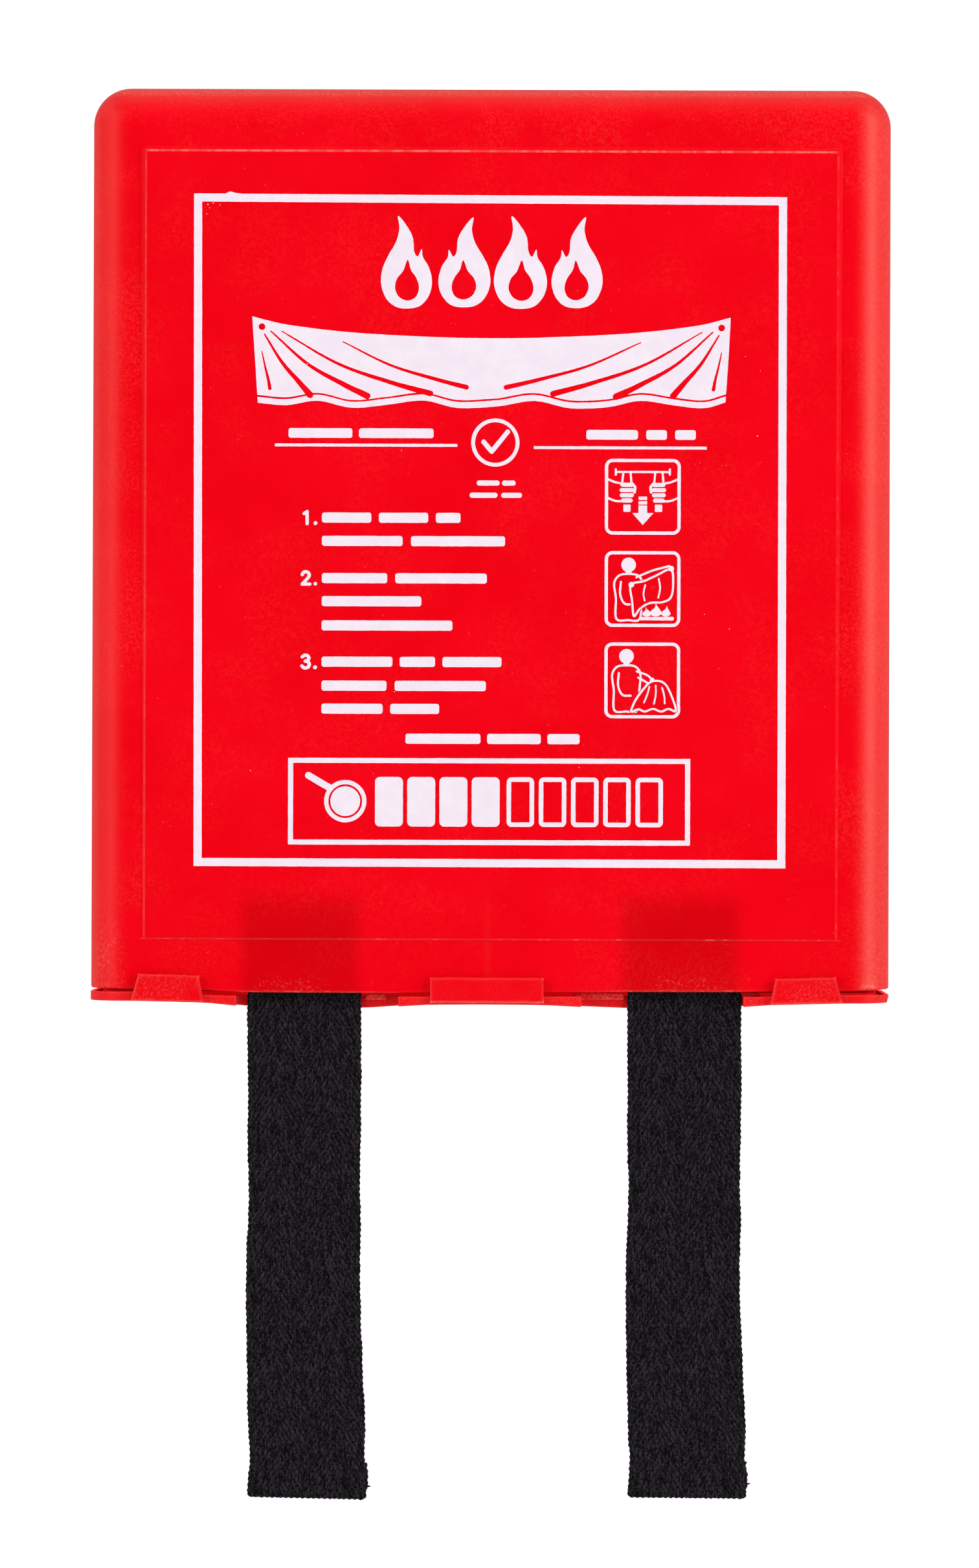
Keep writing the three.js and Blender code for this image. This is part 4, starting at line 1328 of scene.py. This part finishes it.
# ------------------------------------------------------------------ trimmed notches in the flap
def cut_remnant(name, x0, x1, z0, z1, seed):
    """The whitened, ragged strip left where a tape notch was trimmed out of the flap's lip."""
    width = x1 - x0
    columns = max(10, int(width / 0.16))
    t, s = np.meshgrid(np.linspace(0, 1, columns), np.linspace(0, 1, 12), indexing="ij")
    taper = np.clip(np.minimum(t, 1 - t) * width / 0.9, 0, 1) ** 0.5
    x = x0 + width * t
    ragged = 0.14 * noise(t * width / 0.8 + seed, 0, 62) + 0.08 * noise(t * width / 0.3, seed, 63)
    top = z1 + ragged - 0.5 * (1 - taper)
    z = z0 + (top - z0) * s
    rough = 0.10 * noise(x / 0.5, z / 0.35 + seed, 64) + 0.05 * noise(x / 0.22, z / 0.2, 65)
    front = np.stack([x, -31.45 + rough + 0.25 * s, z], -1)
    back = np.stack([x, -29.85 + 0.05 * rough, z], -1)  # its root is in the notch's floor
    strip = slab(name, front, back, RED_CUT)
    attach(strip, "flap")


cut_remnant("notch_remnant_right_inner", 18.4, 29.8, -102.3, -100.95, seed=3)
cut_remnant("notch_remnant_right_outer", 56.3, 60.3, -102.3, -100.85, seed=9)
cut_remnant("notch_remnant_left_inner", -27.6, -23.0, -102.5, -101.35, seed=14)

# ------------------------------------------------------------------ drawing in ink
INK_STEP = 0.08  # spacing of the distance field


def line_distance(x, z, points):
    best = np.full(x.shape, 1e9)
    for (ax, az), (bx, bz) in zip(points, points[1:]):
        vx, vz = bx - ax, bz - az
        square = vx * vx + vz * vz + 1e-12
        t = np.clip(((x - ax) * vx + (z - az) * vz) / square, 0, 1)
        best = np.minimum(best, np.hypot(x - ax - vx * t, z - az - vz * t))
    return best


def polygon_distance(x, z, points):
    distance = line_distance(x, z, points + [points[0]])
    inside = np.zeros(x.shape, bool)
    for (ax, az), (bx, bz) in zip(points, points[1:] + [points[0]]):
        if az != bz:
            inside ^= ((az > z) != (bz > z)) & (x < (bx - ax) * (z - az) / (bz - az) + ax)
    return np.where(inside, -distance, distance)


def spline(points, closed=False, steps=7):
    """Catmull-Rom curve through points."""
    P = np.array(points, float)
    if closed:
        Q = np.concatenate([P[-1:], P, P[:2]])
    else:
        Q = np.concatenate([2 * P[:1] - P[1:2], P, 2 * P[-1:] - P[-2:-1]])
    curve = []
    for i in range(len(P) if closed else len(P) - 1):
        curve += [catmull_rom(*Q[i : i + 4], t) for t in np.arange(steps) / steps]
    if not closed:
        curve.append(P[-1])
    return [tuple(point) for point in curve]


class Sheet:
    """Distance field of the ink, negative where there is ink. cut takes ink away."""

    def __init__(self, x0, x1, z0, z1):
        self.x = np.arange(x0, x1, INK_STEP)
        self.z = np.arange(z0, z1, INK_STEP)
        self.field = np.full((len(self.x), len(self.z)), 3.0)
        self.origin()

    def origin(self, x=0.0, z=0.0, scale_x=1.0, scale_z=1.0):
        self.at = (x, z, scale_x, scale_z)

    def place(self, points):
        ox, oz, sx, sz = self.at
        return [(ox + x * sx, oz + z * sz) for x, z in points]

    def window(self, points, pad):
        """Part of the field round some points, with its x and z."""
        P = np.array(points)
        i0, i1 = np.searchsorted(self.x, [P[:, 0].min() - pad, P[:, 0].max() + pad])
        j0, j1 = np.searchsorted(self.z, [P[:, 1].min() - pad, P[:, 1].max() + pad])
        x, z = np.meshgrid(self.x[i0:i1], self.z[j0:j1], indexing="ij")
        return (slice(i0, i1), slice(j0, j1)), x, z

    def lay(self, part, distance, cut, stroke=0.0):
        """stroke, if given, leaves only an outline of that width inside the shape."""
        if stroke:
            distance = np.abs(distance + stroke / 2) - stroke / 2
        old = self.field[part]
        self.field[part] = np.maximum(old, -distance) if cut else np.minimum(old, distance)

    def line(self, points, width, cut=False):
        points = self.place(points)
        part, x, z = self.window(points, width / 2 + 1.0)
        self.lay(part, line_distance(x, z, points) - width / 2, cut)

    def box(self, x0, z0, x1, z1, r=0.1, cut=False, stroke=0.0):
        (x0, z0), (x1, z1) = self.place([(x0, z0), (x1, z1)])
        x0, x1, z0, z1 = min(x0, x1), max(x0, x1), min(z0, z1), max(z0, z1)
        part, x, z = self.window([(x0, z0), (x1, z1)], 1.0)
        qx = np.abs(x - (x0 + x1) / 2) - (x1 - x0) / 2 + r
        qz = np.abs(z - (z0 + z1) / 2) - (z1 - z0) / 2 + r
        outside = np.hypot(np.maximum(qx, 0), np.maximum(qz, 0))
        self.lay(part, outside + np.minimum(np.maximum(qx, qz), 0) - r, cut, stroke)

    def disc(self, x, z, r, cut=False, stroke=0.0):
        (cx, cz), = self.place([(x, z)])
        part, x, z = self.window([(cx - r, cz - r), (cx + r, cz + r)], 1.0)
        self.lay(part, np.hypot(x - cx, z - cz) - r, cut, stroke)

    def shape(self, points, cut=False, stroke=0.0, over=False):
        """Polygon, or its outline if stroke is given; over first clears what is under it."""
        points = self.place(points)
        part, x, z = self.window(points, 1.5)
        distance = polygon_distance(x, z, points)
        if over:
            self.lay(part, distance - stroke * 0.9, True)
        if stroke:
            distance = np.abs(distance) - stroke / 2
        self.lay(part, distance, cut)


def outlines(field, xs, zs):
    """Closed outlines of the region where field is below zero."""
    m, n = field.shape
    inside = field < 0
    case = inside[:-1, :-1] * 1 + inside[1:, :-1] * 2 + inside[1:, 1:] * 4 + inside[:-1, 1:] * 8
    index = np.arange(m * n).reshape(m, n)
    # ids of each cell's bottom, right, top and left edge
    edge = [2 * index[:-1, :-1], 2 * index[1:, :-1] + 1, 2 * index[:-1, 1:], 2 * index[:-1, :-1] + 1]
    # which edges the outline joins, for each case of corners inside
    table = {
        1: [(0, 3)], 2: [(1, 0)], 4: [(2, 1)], 8: [(3, 2)], 3: [(1, 3)], 6: [(2, 0)],
        12: [(3, 1)], 9: [(0, 2)], 7: [(2, 3)], 11: [(1, 2)], 13: [(0, 1)], 14: [(3, 0)],
        5: [(0, 3), (2, 1)], 10: [(1, 0), (3, 2)],
    }
    following = {}
    for k, joins in table.items():
        chosen = case == k
        for p, q in joins:
            following.update(zip(edge[p][chosen].tolist(), edge[q][chosen].tolist()))

    def crossing(edge_id):
        vert, upright = divmod(edge_id, 2)
        i, j = divmod(vert, n)
        f0 = field[i, j]
        if upright:
            t = f0 / (f0 - field[i, j + 1])
            return (xs[i], zs[j] + t * (zs[j + 1] - zs[j]))
        t = f0 / (f0 - field[i + 1, j])
        return (xs[i] + t * (xs[i + 1] - xs[i]), zs[j])

    loops = []
    while following:
        start, current = following.popitem()
        loop = [start]
        while current != start:
            loop.append(current)
            current = following.pop(current)
        loops.append([crossing(k) for k in loop])
    return loops


def simplify(points, tolerance):
    """Douglas-Peucker on a closed outline."""
    P = np.array(points)
    n = len(P)
    if n < 8:
        return P
    far = int(np.argmax(np.hypot(*(P - P[0]).T)))
    keep = np.zeros(n + 1, bool)
    keep[[0, far, n]] = True
    Q = np.concatenate([P, P[:1]])
    stack = [(0, far), (far, n)]
    while stack:
        i, j = stack.pop()
        if j - i < 2:
            continue
        a = Q[i]
        v = Q[j] - a
        length = math.hypot(*v) + 1e-12
        between = Q[i + 1 : j]
        off = np.abs((between[:, 0] - a[0]) * v[1] - (between[:, 1] - a[1]) * v[0]) / length
        k = int(np.argmax(off))
        if off[k] > tolerance:
            k += i + 1
            keep[k] = True
            stack += [(i, k), (k, j)]
    return Q[:-1][keep[:-1]]


# ------------------------------------------------------------------ print on the panel
ink = Sheet(-67.5, 67.5, -74.5, 78.3)


def print_frame():
    """Frame round the panel, printed a little out of square, with a small run of ink."""
    corners = [(-65.82, -72.80), (65.50, -72.92), (65.44, 75.98), (-66.16, 76.42)]
    width = 1.80
    ink.shape(corners)
    ink.shape(
        [(x - math.copysign(width, x), z - math.copysign(width, z)) for x, z in corners], cut=True)
    ink.shape(spline([
        (-59.2, 76.1), (-58.7, 76.66), (-58.0, 76.86), (-57.2, 76.62), (-55.6, 76.33),
        (-56.5, 75.9)], True))


# outline of a flame, and of the opening in it
FLAME = [
    (0.0, -10.2), (2.9, -9.6), (4.9, -7.3), (5.6, -4.2), (4.9, -1.0), (3.6, 1.2), (3.3, 3.0),
    (2.4, 1.4), (1.6, 2.6), (1.3, 5.6), (-0.2, 8.4), (-2.0, 10.4), (-1.7, 7.6), (-2.4, 4.6),
    (-4.1, 1.6), (-5.4, -1.4), (-5.7, -4.8), (-4.6, -7.9), (-2.6, -9.7),
]
FLAME_HEART = [
    (0.2, -8.4), (2.0, -7.6), (2.7, -5.6), (2.1, -3.4), (0.9, -1.6), (0.2, 0.6),
    (-0.8, -1.8), (-2.2, -3.6), (-2.6, -5.7), (-1.7, -7.6),
]


def print_flames():
    """A row of flames, each a tall tongue with a smaller one beside it."""
    for x, scale_x, scale_z in (
        (-18.9, 1.0, 1.0), (-6.2, -1.02, 0.97), (6.4, 1.04, 1.0), (18.8, -1.0, 0.98),
    ):
        ink.origin(x, 61.2, scale_x, scale_z)
        ink.shape(spline(FLAME, True))
        ink.shape(spline(FLAME_HEART, True), cut=True)
    ink.origin()


HUNG_TOP = [
    (-53.2, 49.2), (-45.0, 47.3), (-30.0, 45.6), (-12.0, 44.7), (0.0, 44.5), (12.0, 44.7),
    (30.0, 45.6), (45.0, 47.3), (53.0, 49.2),
]
HUNG_FOOT = [
    (51.9, 30.4), (47.0, 29.1), (40.5, 29.7), (33.0, 30.7), (26.0, 29.3), (17.5, 29.0),
    (9.5, 30.6), (1.5, 29.4), (-7.5, 29.0), (-15.0, 30.6), (-23.0, 29.7), (-31.0, 28.95),
    (-38.5, 30.5), (-45.5, 29.5), (-51.9, 30.0),
]
# folds: start, end, sideways bend, width at the start and end
HUNG_FOLDS = [
    ((50.4, 45.2), (40.3, 31.8), -1.6, 0.35, 1.5), ((49.0, 45.9), (27.6, 31.6), -3.0, 0.35, 1.5),
    ((46.6, 45.9), (13.6, 32.2), -3.4, 0.3, 1.35), ((33.0, 43.6), (3.2, 33.6), -2.2, 0.3, 1.1),
    ((51.0, 41.4), (49.2, 33.2), 0.2, 0.25, 0.8),
]


def print_hung_blanket():
    """A blanket hung from its two top corners, with the folds that makes."""
    top, foot = spline(HUNG_TOP, steps=5), spline(HUNG_FOOT, steps=5)
    ink.shape(top + [(52.6, 41.0)] + foot + [(-52.6, 41.0)])
    for s in (-1, 1):
        for (x0, z0), (x1, z1), bend, width0, width1 in HUNG_FOLDS:
            if x1 == 3.2 and s < 0:
                x1 = 5.6  # the inmost left fold stops short of the middle
            curve = spline([
                (s * x0, z0),
                (s * (x0 * 0.62 + x1 * 0.38), z0 * 0.60 + z1 * 0.40 + bend * 0.5),
                (s * (x0 * 0.25 + x1 * 0.75), z0 * 0.27 + z1 * 0.73 + bend * 0.42),
                (s * x1, z1)], steps=9)
            widths = np.linspace(width0, width1, len(curve))
            for start, end, width in zip(curve, curve[1:], widths):
                ink.line([start, end], float(width), cut=True)
        ink.disc(s * 51.0, 46.9, 0.75, cut=True)
    for part in (HUNG_FOOT[:8], HUNG_FOOT[7:]):
        ink.line(spline([(x, z + 1.55) for x, z in part]), 0.42, cut=True)


def words(x0, x1, z, height, counts, space=0.62):
    """A line of text as plain bars, one to a word, counts letters long."""
    unit = (x1 - x0) / (sum(counts) + space * (len(counts) - 1))
    x = x0
    for count in counts:
        ink.box(x, z - height / 2, x + count * unit, z + height / 2, r=min(height / 2, 0.55))
        x += (count + space) * unit


TEXT_LEFT, TEXT_HEIGHT = -37.57, 2.25
# lines of text under the headings: right end, z, letters in each word
TEXT = [
    (-6.82, 4.60, (4, 4, 2)), (3.09, -0.57, (6, 7)), (-0.93, -8.83, (5, 7)),
    (-15.45, -13.94, (8,)), (-8.55, -19.32, (10,)), (2.37, -27.37, (6, 3, 5)),
    (-1.08, -32.69, (5, 7)), (-11.42, -37.79, (5, 4)),
]
# the figures 1, 2 and 3: z, strokes
FIGURES = [
    (4.60, [[(0.25, -1.35), (0.25, 1.35)], [(-0.45, 0.85), (0.25, 1.35)]]),
    (-8.83, [
        spline([(-0.8, 0.75), (-0.55, 1.2), (0.0, 1.4), (0.6, 1.15), (0.75, 0.6), (0.45, 0.0),
                (-0.75, -1.3)]),
        [(-0.8, -1.35), (0.9, -1.35)]]),
    (-27.37, [
        spline([(-0.75, 1.05), (-0.2, 1.4), (0.45, 1.3), (0.75, 0.8), (0.5, 0.3), (-0.1, 0.1)]),
        spline([(-0.1, 0.1), (0.6, -0.1), (0.85, -0.65), (0.55, -1.2), (0.0, -1.4),
                (-0.5, -1.3), (-0.85, -0.95)])]),
]


def print_text():
    words(-45.05, -12.86, 23.35, 2.15, (6, 7))
    ink.box(-48.06, 20.37, -7.54, 21.01)
    words(21.05, 45.33, 23.15, 2.15, (5, 2, 2), space=0.8)
    ink.box(9.41, 19.94, 47.77, 20.58)
    words(-3.23, 5.39, 12.36, 1.15, (5, 3), space=0.5)
    words(-4.81, 6.82, 9.65, 1.15, (4, 3), space=0.5)
    for right, z, counts in TEXT:
        words(TEXT_LEFT, right, z, TEXT_HEIGHT, counts)
    words(-18.89, 19.76, -44.40, TEXT_HEIGHT, (7, 5, 3))
    # ring with a tick
    ink.disc(0.86, 21.35, 5.35, stroke=0.85)
    ink.line([(-1.75, 21.5), (0.05, 19.35), (3.6, 23.75)], 1.05)
    for z, strokes in FIGURES:
        ink.origin(-41.1, z)
        for stroke in strokes:
            ink.line(stroke, 0.72)
        ink.disc(2.1, -1.25, 0.42)
    ink.origin()


# three pictures in rounded squares
PICTURE_X = 33.62
PICTURE_Z = (9.42, -11.05, -31.32)
THIN = 0.46  # line width


def tongue(x, z, width, height, tip=0.0):
    """Small flame with its tip moved sideways."""
    ink.shape(spline([
        (x, z), (x + width * 0.5, z + height * 0.2), (x + width * 0.36, z + height * 0.52),
        (x + width * 0.08 + tip * 0.6, z + height * 0.8), (x + tip, z + height),
        (x - width * 0.12 + tip * 0.4, z + height * 0.66),
        (x - width * 0.45, z + height * 0.42), (x - width * 0.46, z + height * 0.14)], True, 5))


PERSON_BODY = [
    (-5.4, 3.0), (-3.3, 3.35), (-1.2, 3.0), (-0.2, 1.3), (-0.4, -1.8), (-0.8, -6.6),
    (-3.4, -6.9), (-6.0, -6.6), (-6.1, -2.2), (-6.5, 1.2),
]
PERSON_ARM = [(-5.0, 1.6), (-5.15, -1.2), (-4.2, -3.2), (-2.4, -3.4)]


def person(shift):
    ink.disc(-3.3 + shift, 5.35, 1.62)
    ink.box(-3.95 + shift, 3.2, -2.65 + shift, 4.4, r=0.2)
    ink.shape(spline([(x + shift, z) for x, z in PERSON_BODY], True, 5), stroke=THIN)
    ink.line(spline([(x + shift, z) for x, z in PERSON_ARM]), THIN)


def picture_pull():
    """Two mirrored fists on hanging straps, with an arrow down between them."""
    ink.line([(-6.0, 5.5), (6.0, 5.5)], THIN)
    for s in (-1, 1):
        ink.line([(s * 6.0, 4.9), (s * 6.0, 6.1)], THIN)
        ink.line([(s * 2.75, 5.5), (s * 2.55, 3.3)], THIN)
        ink.line([(s * 4.35, 5.5), (s * 4.55, 3.3)], THIN)
        for k, half in enumerate((1.45, 1.62, 1.55, 1.30)):
            z = 2.65 - k * 1.16
            ink.line([(s * 3.55 - half + 0.46, z), (s * 3.55 + half - 0.46, z)], 0.92)
        ink.line(spline([(s * 2.35, 2.9), (s * 1.75, 2.1), (s * 1.85, 1.0)]), 0.6)
        ink.box(s * 3.5 - 0.8, -3.35, s * 3.5 + 0.8, -1.75, r=0.15)
        ink.line(spline([(s * 5.0, 3.0), (s * 6.4, 3.3), (s * 8.2, 4.1)]), THIN)
        ink.line(spline([(s * 4.8, -1.0), (s * 6.2, -0.9), (s * 8.2, -0.1)]), THIN)
    ink.box(-0.95, -3.9, 0.95, 0.05)
    ink.shape([(-2.35, -3.6), (2.35, -3.6), (0.0, -6.3)])
    ink.box(-1.4, -0.95, 1.4, -0.68, r=0.0, cut=True)
    ink.box(-1.4, -1.95, 1.4, -1.72, r=0.0, cut=True)


def picture_hold():
    """A person holding a blanket up in front of flames."""
    person(0.2)
    ink.shape(spline([
        (-2.6, 0.9), (0.4, 1.8), (3.4, 3.2), (6.3, 4.4), (6.8, 1.4), (6.3, -1.8), (4.4, -2.9),
        (1.6, -3.1), (-0.6, -4.4), (-1.9, -6.0), (-2.3, -2.6)], True, 5), stroke=THIN, over=True)
    ink.line(spline([(0.6, 0.9), (0.2, -1.0), (0.5, -2.6)]), THIN * 0.8)
    ink.line(spline([(3.6, 2.3), (3.9, 0.2), (3.5, -1.9)]), THIN * 0.8)
    ink.disc(-2.5, 0.95, 0.62)
    ink.disc(6.35, 4.55, 0.62)
    ink.line(spline([(-1.4, 2.6), (2.2, 4.1), (5.9, 5.1)]), THIN)
    tongue(3.0, -6.1, 2.5, 3.0)
    tongue(1.0, -6.1, 2.0, 2.1, tip=-0.3)
    tongue(5.2, -6.1, 2.0, 2.5, tip=0.3)
    ink.box(-0.6, -6.95, 7.0, -6.15, r=0.35)


def picture_cover():
    """A person laying the blanket down."""
    person(-0.2)
    ink.shape(spline([
        (-2.4, -6.9), (-1.6, -4.6), (0.2, -2.0), (1.8, -0.4), (3.6, -0.1), (5.2, -0.9),
        (6.5, -3.4), (7.5, -6.7), (5.8, -6.3), (4.2, -6.9), (2.4, -6.3), (0.6, -6.9),
        (-0.8, -6.4)], True, 5), stroke=THIN, over=True)
    for fold in (
        [(1.6, -1.4), (1.1, -3.2), (0.4, -4.9)], [(3.0, -1.1), (3.0, -3.2), (2.6, -5.2)],
        [(4.4, -1.6), (4.9, -3.4), (5.0, -5.1)],
    ):
        ink.line(spline(fold), THIN * 0.8)
    ink.line(spline([(-1.2, 2.0), (1.0, 1.2), (2.2, 0.2)]), THIN)
    ink.line(spline([(-0.9, 0.6), (0.4, -0.1), (1.2, -0.6)]), THIN)
    ink.disc(2.2, 0.1, 0.55)


def print_lower_box():
    """A pan, four solid blocks and five open ones."""
    ink.box(-44.90, -67.96, 44.32, -48.71, r=0.12, stroke=1.12)
    ink.disc(-32.2, -58.3, 4.7)
    ink.disc(-32.2, -58.3, 3.75, cut=True, stroke=0.45)
    ink.line([(-35.6, -55.4), (-40.4, -52.6)], 1.5)
    pitch, bottom, top = 7.15, -63.9, -52.9
    for k in range(4):
        x = -25.6 + k * pitch
        ink.box(x, bottom, x + 6.2, top, r=1.1)
    for k in range(5):
        x = 3.6 + k * pitch
        ink.box(x, bottom, x + 6.1, top, r=1.1, stroke=1.0)


def print_specks():
    """Specks of stray ink and small misses, and a few specks in the top left corner."""
    for _ in range(26):
        x, z = RNG.uniform(-62, 62), RNG.uniform(-70, 74)
        radius = RNG.uniform(0.05, 0.11)
        ink.disc(x, z, radius, cut=bool(RNG.random() < 0.5))
    for x, z, radius in (
        (-63.1, 74.0, 0.14), (-62.7, 73.2, 0.1), (-61.9, 74.3, 0.12), (-63.3, 71.9, 0.09),
        (-60.4, 73.9, 0.1),
    ):
        ink.disc(x, z, radius)


def ink_mesh():
    """Fill the ink's outlines and stand them on the panel."""
    curve = bpy.data.curves.new("print", "CURVE")
    curve.dimensions = "2D"
    curve.fill_mode = "BOTH"
    curve.extrude = 0.03
    for loop in outlines(ink.field, ink.x, ink.z):
        P = simplify(loop, 0.010)
        if len(P) < 4:
            continue
        area = 0.5 * np.sum(P[:, 0] * np.roll(P[:, 1], -1) - np.roll(P[:, 0], -1) * P[:, 1])
        if abs(area) < 0.006:
            continue
        outline = curve.splines.new("POLY")
        outline.points.add(len(P) - 1)
        points = np.zeros((len(P), 4))
        points[:, 0], points[:, 1], points[:, 3] = P[:, 0], P[:, 1], 1
        outline.points.foreach_set("co", points.ravel())
        outline.use_cyclic_u = True
    drawn = bpy.data.objects.new("print_curve", curve)
    bpy.context.scene.collection.objects.link(drawn)
    depsgraph = bpy.context.evaluated_depsgraph_get()
    mesh = bpy.data.meshes.new_from_object(drawn.evaluated_get(depsgraph), depsgraph=depsgraph)
    bpy.data.objects.remove(drawn)
    bpy.data.curves.remove(curve)
    mesh.name = "printed_panel_artwork"
    flat = np.zeros(len(mesh.vertices) * 3)
    mesh.vertices.foreach_get("co", flat)
    flat = flat.reshape(-1, 3)
    y = -(PANEL_FLAT + 0.022 + flat[:, 2])
    mesh.vertices.foreach_set("co", (np.stack([flat[:, 0], y, flat[:, 1]], -1) * MM).ravel())
    bm = bmesh.new()
    bm.from_mesh(mesh)
    bmesh.ops.remove_doubles(bm, verts=bm.verts, dist=1e-7)
    bmesh.ops.recalc_face_normals(bm, faces=bm.faces)
    bm.to_mesh(mesh)
    bm.free()
    mesh.materials.clear()
    mesh.materials.append(INK)
    artwork = bpy.data.objects.new("printed_panel_artwork", mesh)
    bpy.context.scene.collection.objects.link(artwork)
    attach(artwork, "case")


print_frame()
print_flames()
print_hung_blanket()
print_text()
for z in PICTURE_Z:
    ink.origin(PICTURE_X, z)
    ink.box(-8.41, -8.41, 8.41, 8.41, r=1.75, stroke=0.72)
for z, picture in zip(PICTURE_Z, (picture_pull, picture_hold, picture_cover)):
    ink.origin(PICTURE_X, z)
    picture()
ink.origin()
print_lower_box()
print_specks()
# the edge of a screen print is never quite sharp
grid_x, grid_z = np.meshgrid(ink.x, ink.z, indexing="ij")
ink.field += (
    0.022 * noise(grid_x / 0.42, grid_z / 0.42, 71) + 0.018 * noise(grid_x / 1.9, grid_z / 1.9, 72))
ink_mesh()

# ------------------------------------------------------------------ camera, light, stage
scene = bpy.context.scene
scene.view_settings.view_transform = "Standard"
scene.view_settings.look = "None"


def add_camera():
    view_size = 0.34785  # what the sensor's width covers at the front of the case
    roll = Matrix.Rotation(math.radians(0.18), 3, Vector((0, -1, 0)))
    data = bpy.data.cameras.new("camera")
    data.lens = 120
    data.sensor_width = 36
    camera = bpy.data.objects.new("camera", data)
    scene.collection.objects.link(camera)
    distance = view_size * data.lens / data.sensor_width
    camera.location = (-0.0002, -0.035 - distance, -0.0544)
    camera.rotation_mode = "QUATERNION"
    camera.rotation_quaternion = (
        roll @ Matrix.Rotation(math.radians(90), 3, "X")).to_quaternion()
    scene.camera = camera


def add_world():
    """White to the camera; as light, dim from the front (-Y) and brightest at the sides."""
    world = bpy.data.worlds.new("studio")
    scene.world = world
    sky = Nodes(world)
    y = sky.make("ShaderNodeTexCoord", output="Generated").xyz()[1]
    ahead = y.step(-0.93, -0.30, low=0.02, high=0.66)
    behind = y.step(-0.10, 0.45, low=1.0, high=0.50)
    strength = sky.make("ShaderNodeMath", {0: ahead, 1: behind}, operation="MULTIPLY")
    light = sky.make("ShaderNodeBackground", {0: (1, 1, 1), 1: strength})
    backdrop = sky.make("ShaderNodeBackground", {0: (1, 1, 1), 1: 1.0})
    seen = sky.make("ShaderNodeLightPath", output="Is Camera Ray")
    both = sky.make("ShaderNodeMixShader", {0: seen, 1: light, 2: backdrop})
    sky.add("ShaderNodeOutputWorld", {0: both})


def add_softbox(name, location, target, size, power):
    data = bpy.data.lights.new(name, "AREA")
    data.shape = "RECTANGLE"
    data.size, data.size_y = size
    data.energy = power
    light = bpy.data.objects.new(name, data)
    scene.collection.objects.link(light)
    light.location = location
    light.rotation_mode = "QUATERNION"
    light.rotation_quaternion = (Vector(target) - Vector(location)).to_track_quat("-Z", "Y")


def add_floor():
    bm = bmesh.new()
    bmesh.ops.create_circle(bm, cap_ends=True, radius=1.28, segments=96)
    bmesh.ops.translate(bm, verts=bm.verts, vec=(0, 0, -0.462))
    mesh = bpy.data.meshes.new("floor")
    bm.to_mesh(mesh)
    bm.free()
    floor = bpy.data.objects.new("floor", mesh)
    scene.collection.objects.link(floor)
    paper = Material("floor_paper")
    shade = paper.object_place().noise(scale=9, detail=3)
    mesh.materials.append(paper.set(
        Base_Color=paper.mix(shade, (0.90, 0.90, 0.90), (0.93, 0.93, 0.93)),
        Roughness=0.8,
        Specular_IOR_Level=0.2,
    ))


add_camera()
add_world()
add_softbox("softbox_left", (-1.25, -0.95, 0.35), target=(0, 0, -0.05), size=(0.8, 1.5), power=11.2)
add_softbox("softbox_right", (1.25, -0.90, 0.30), target=(0, 0, -0.05), size=(0.8, 1.5), power=13.6)
add_softbox("softbox_top", (0.0, -1.30, 1.20), target=(0, 0, 0.0), size=(1.2, 0.6), power=6.1)
add_floor()
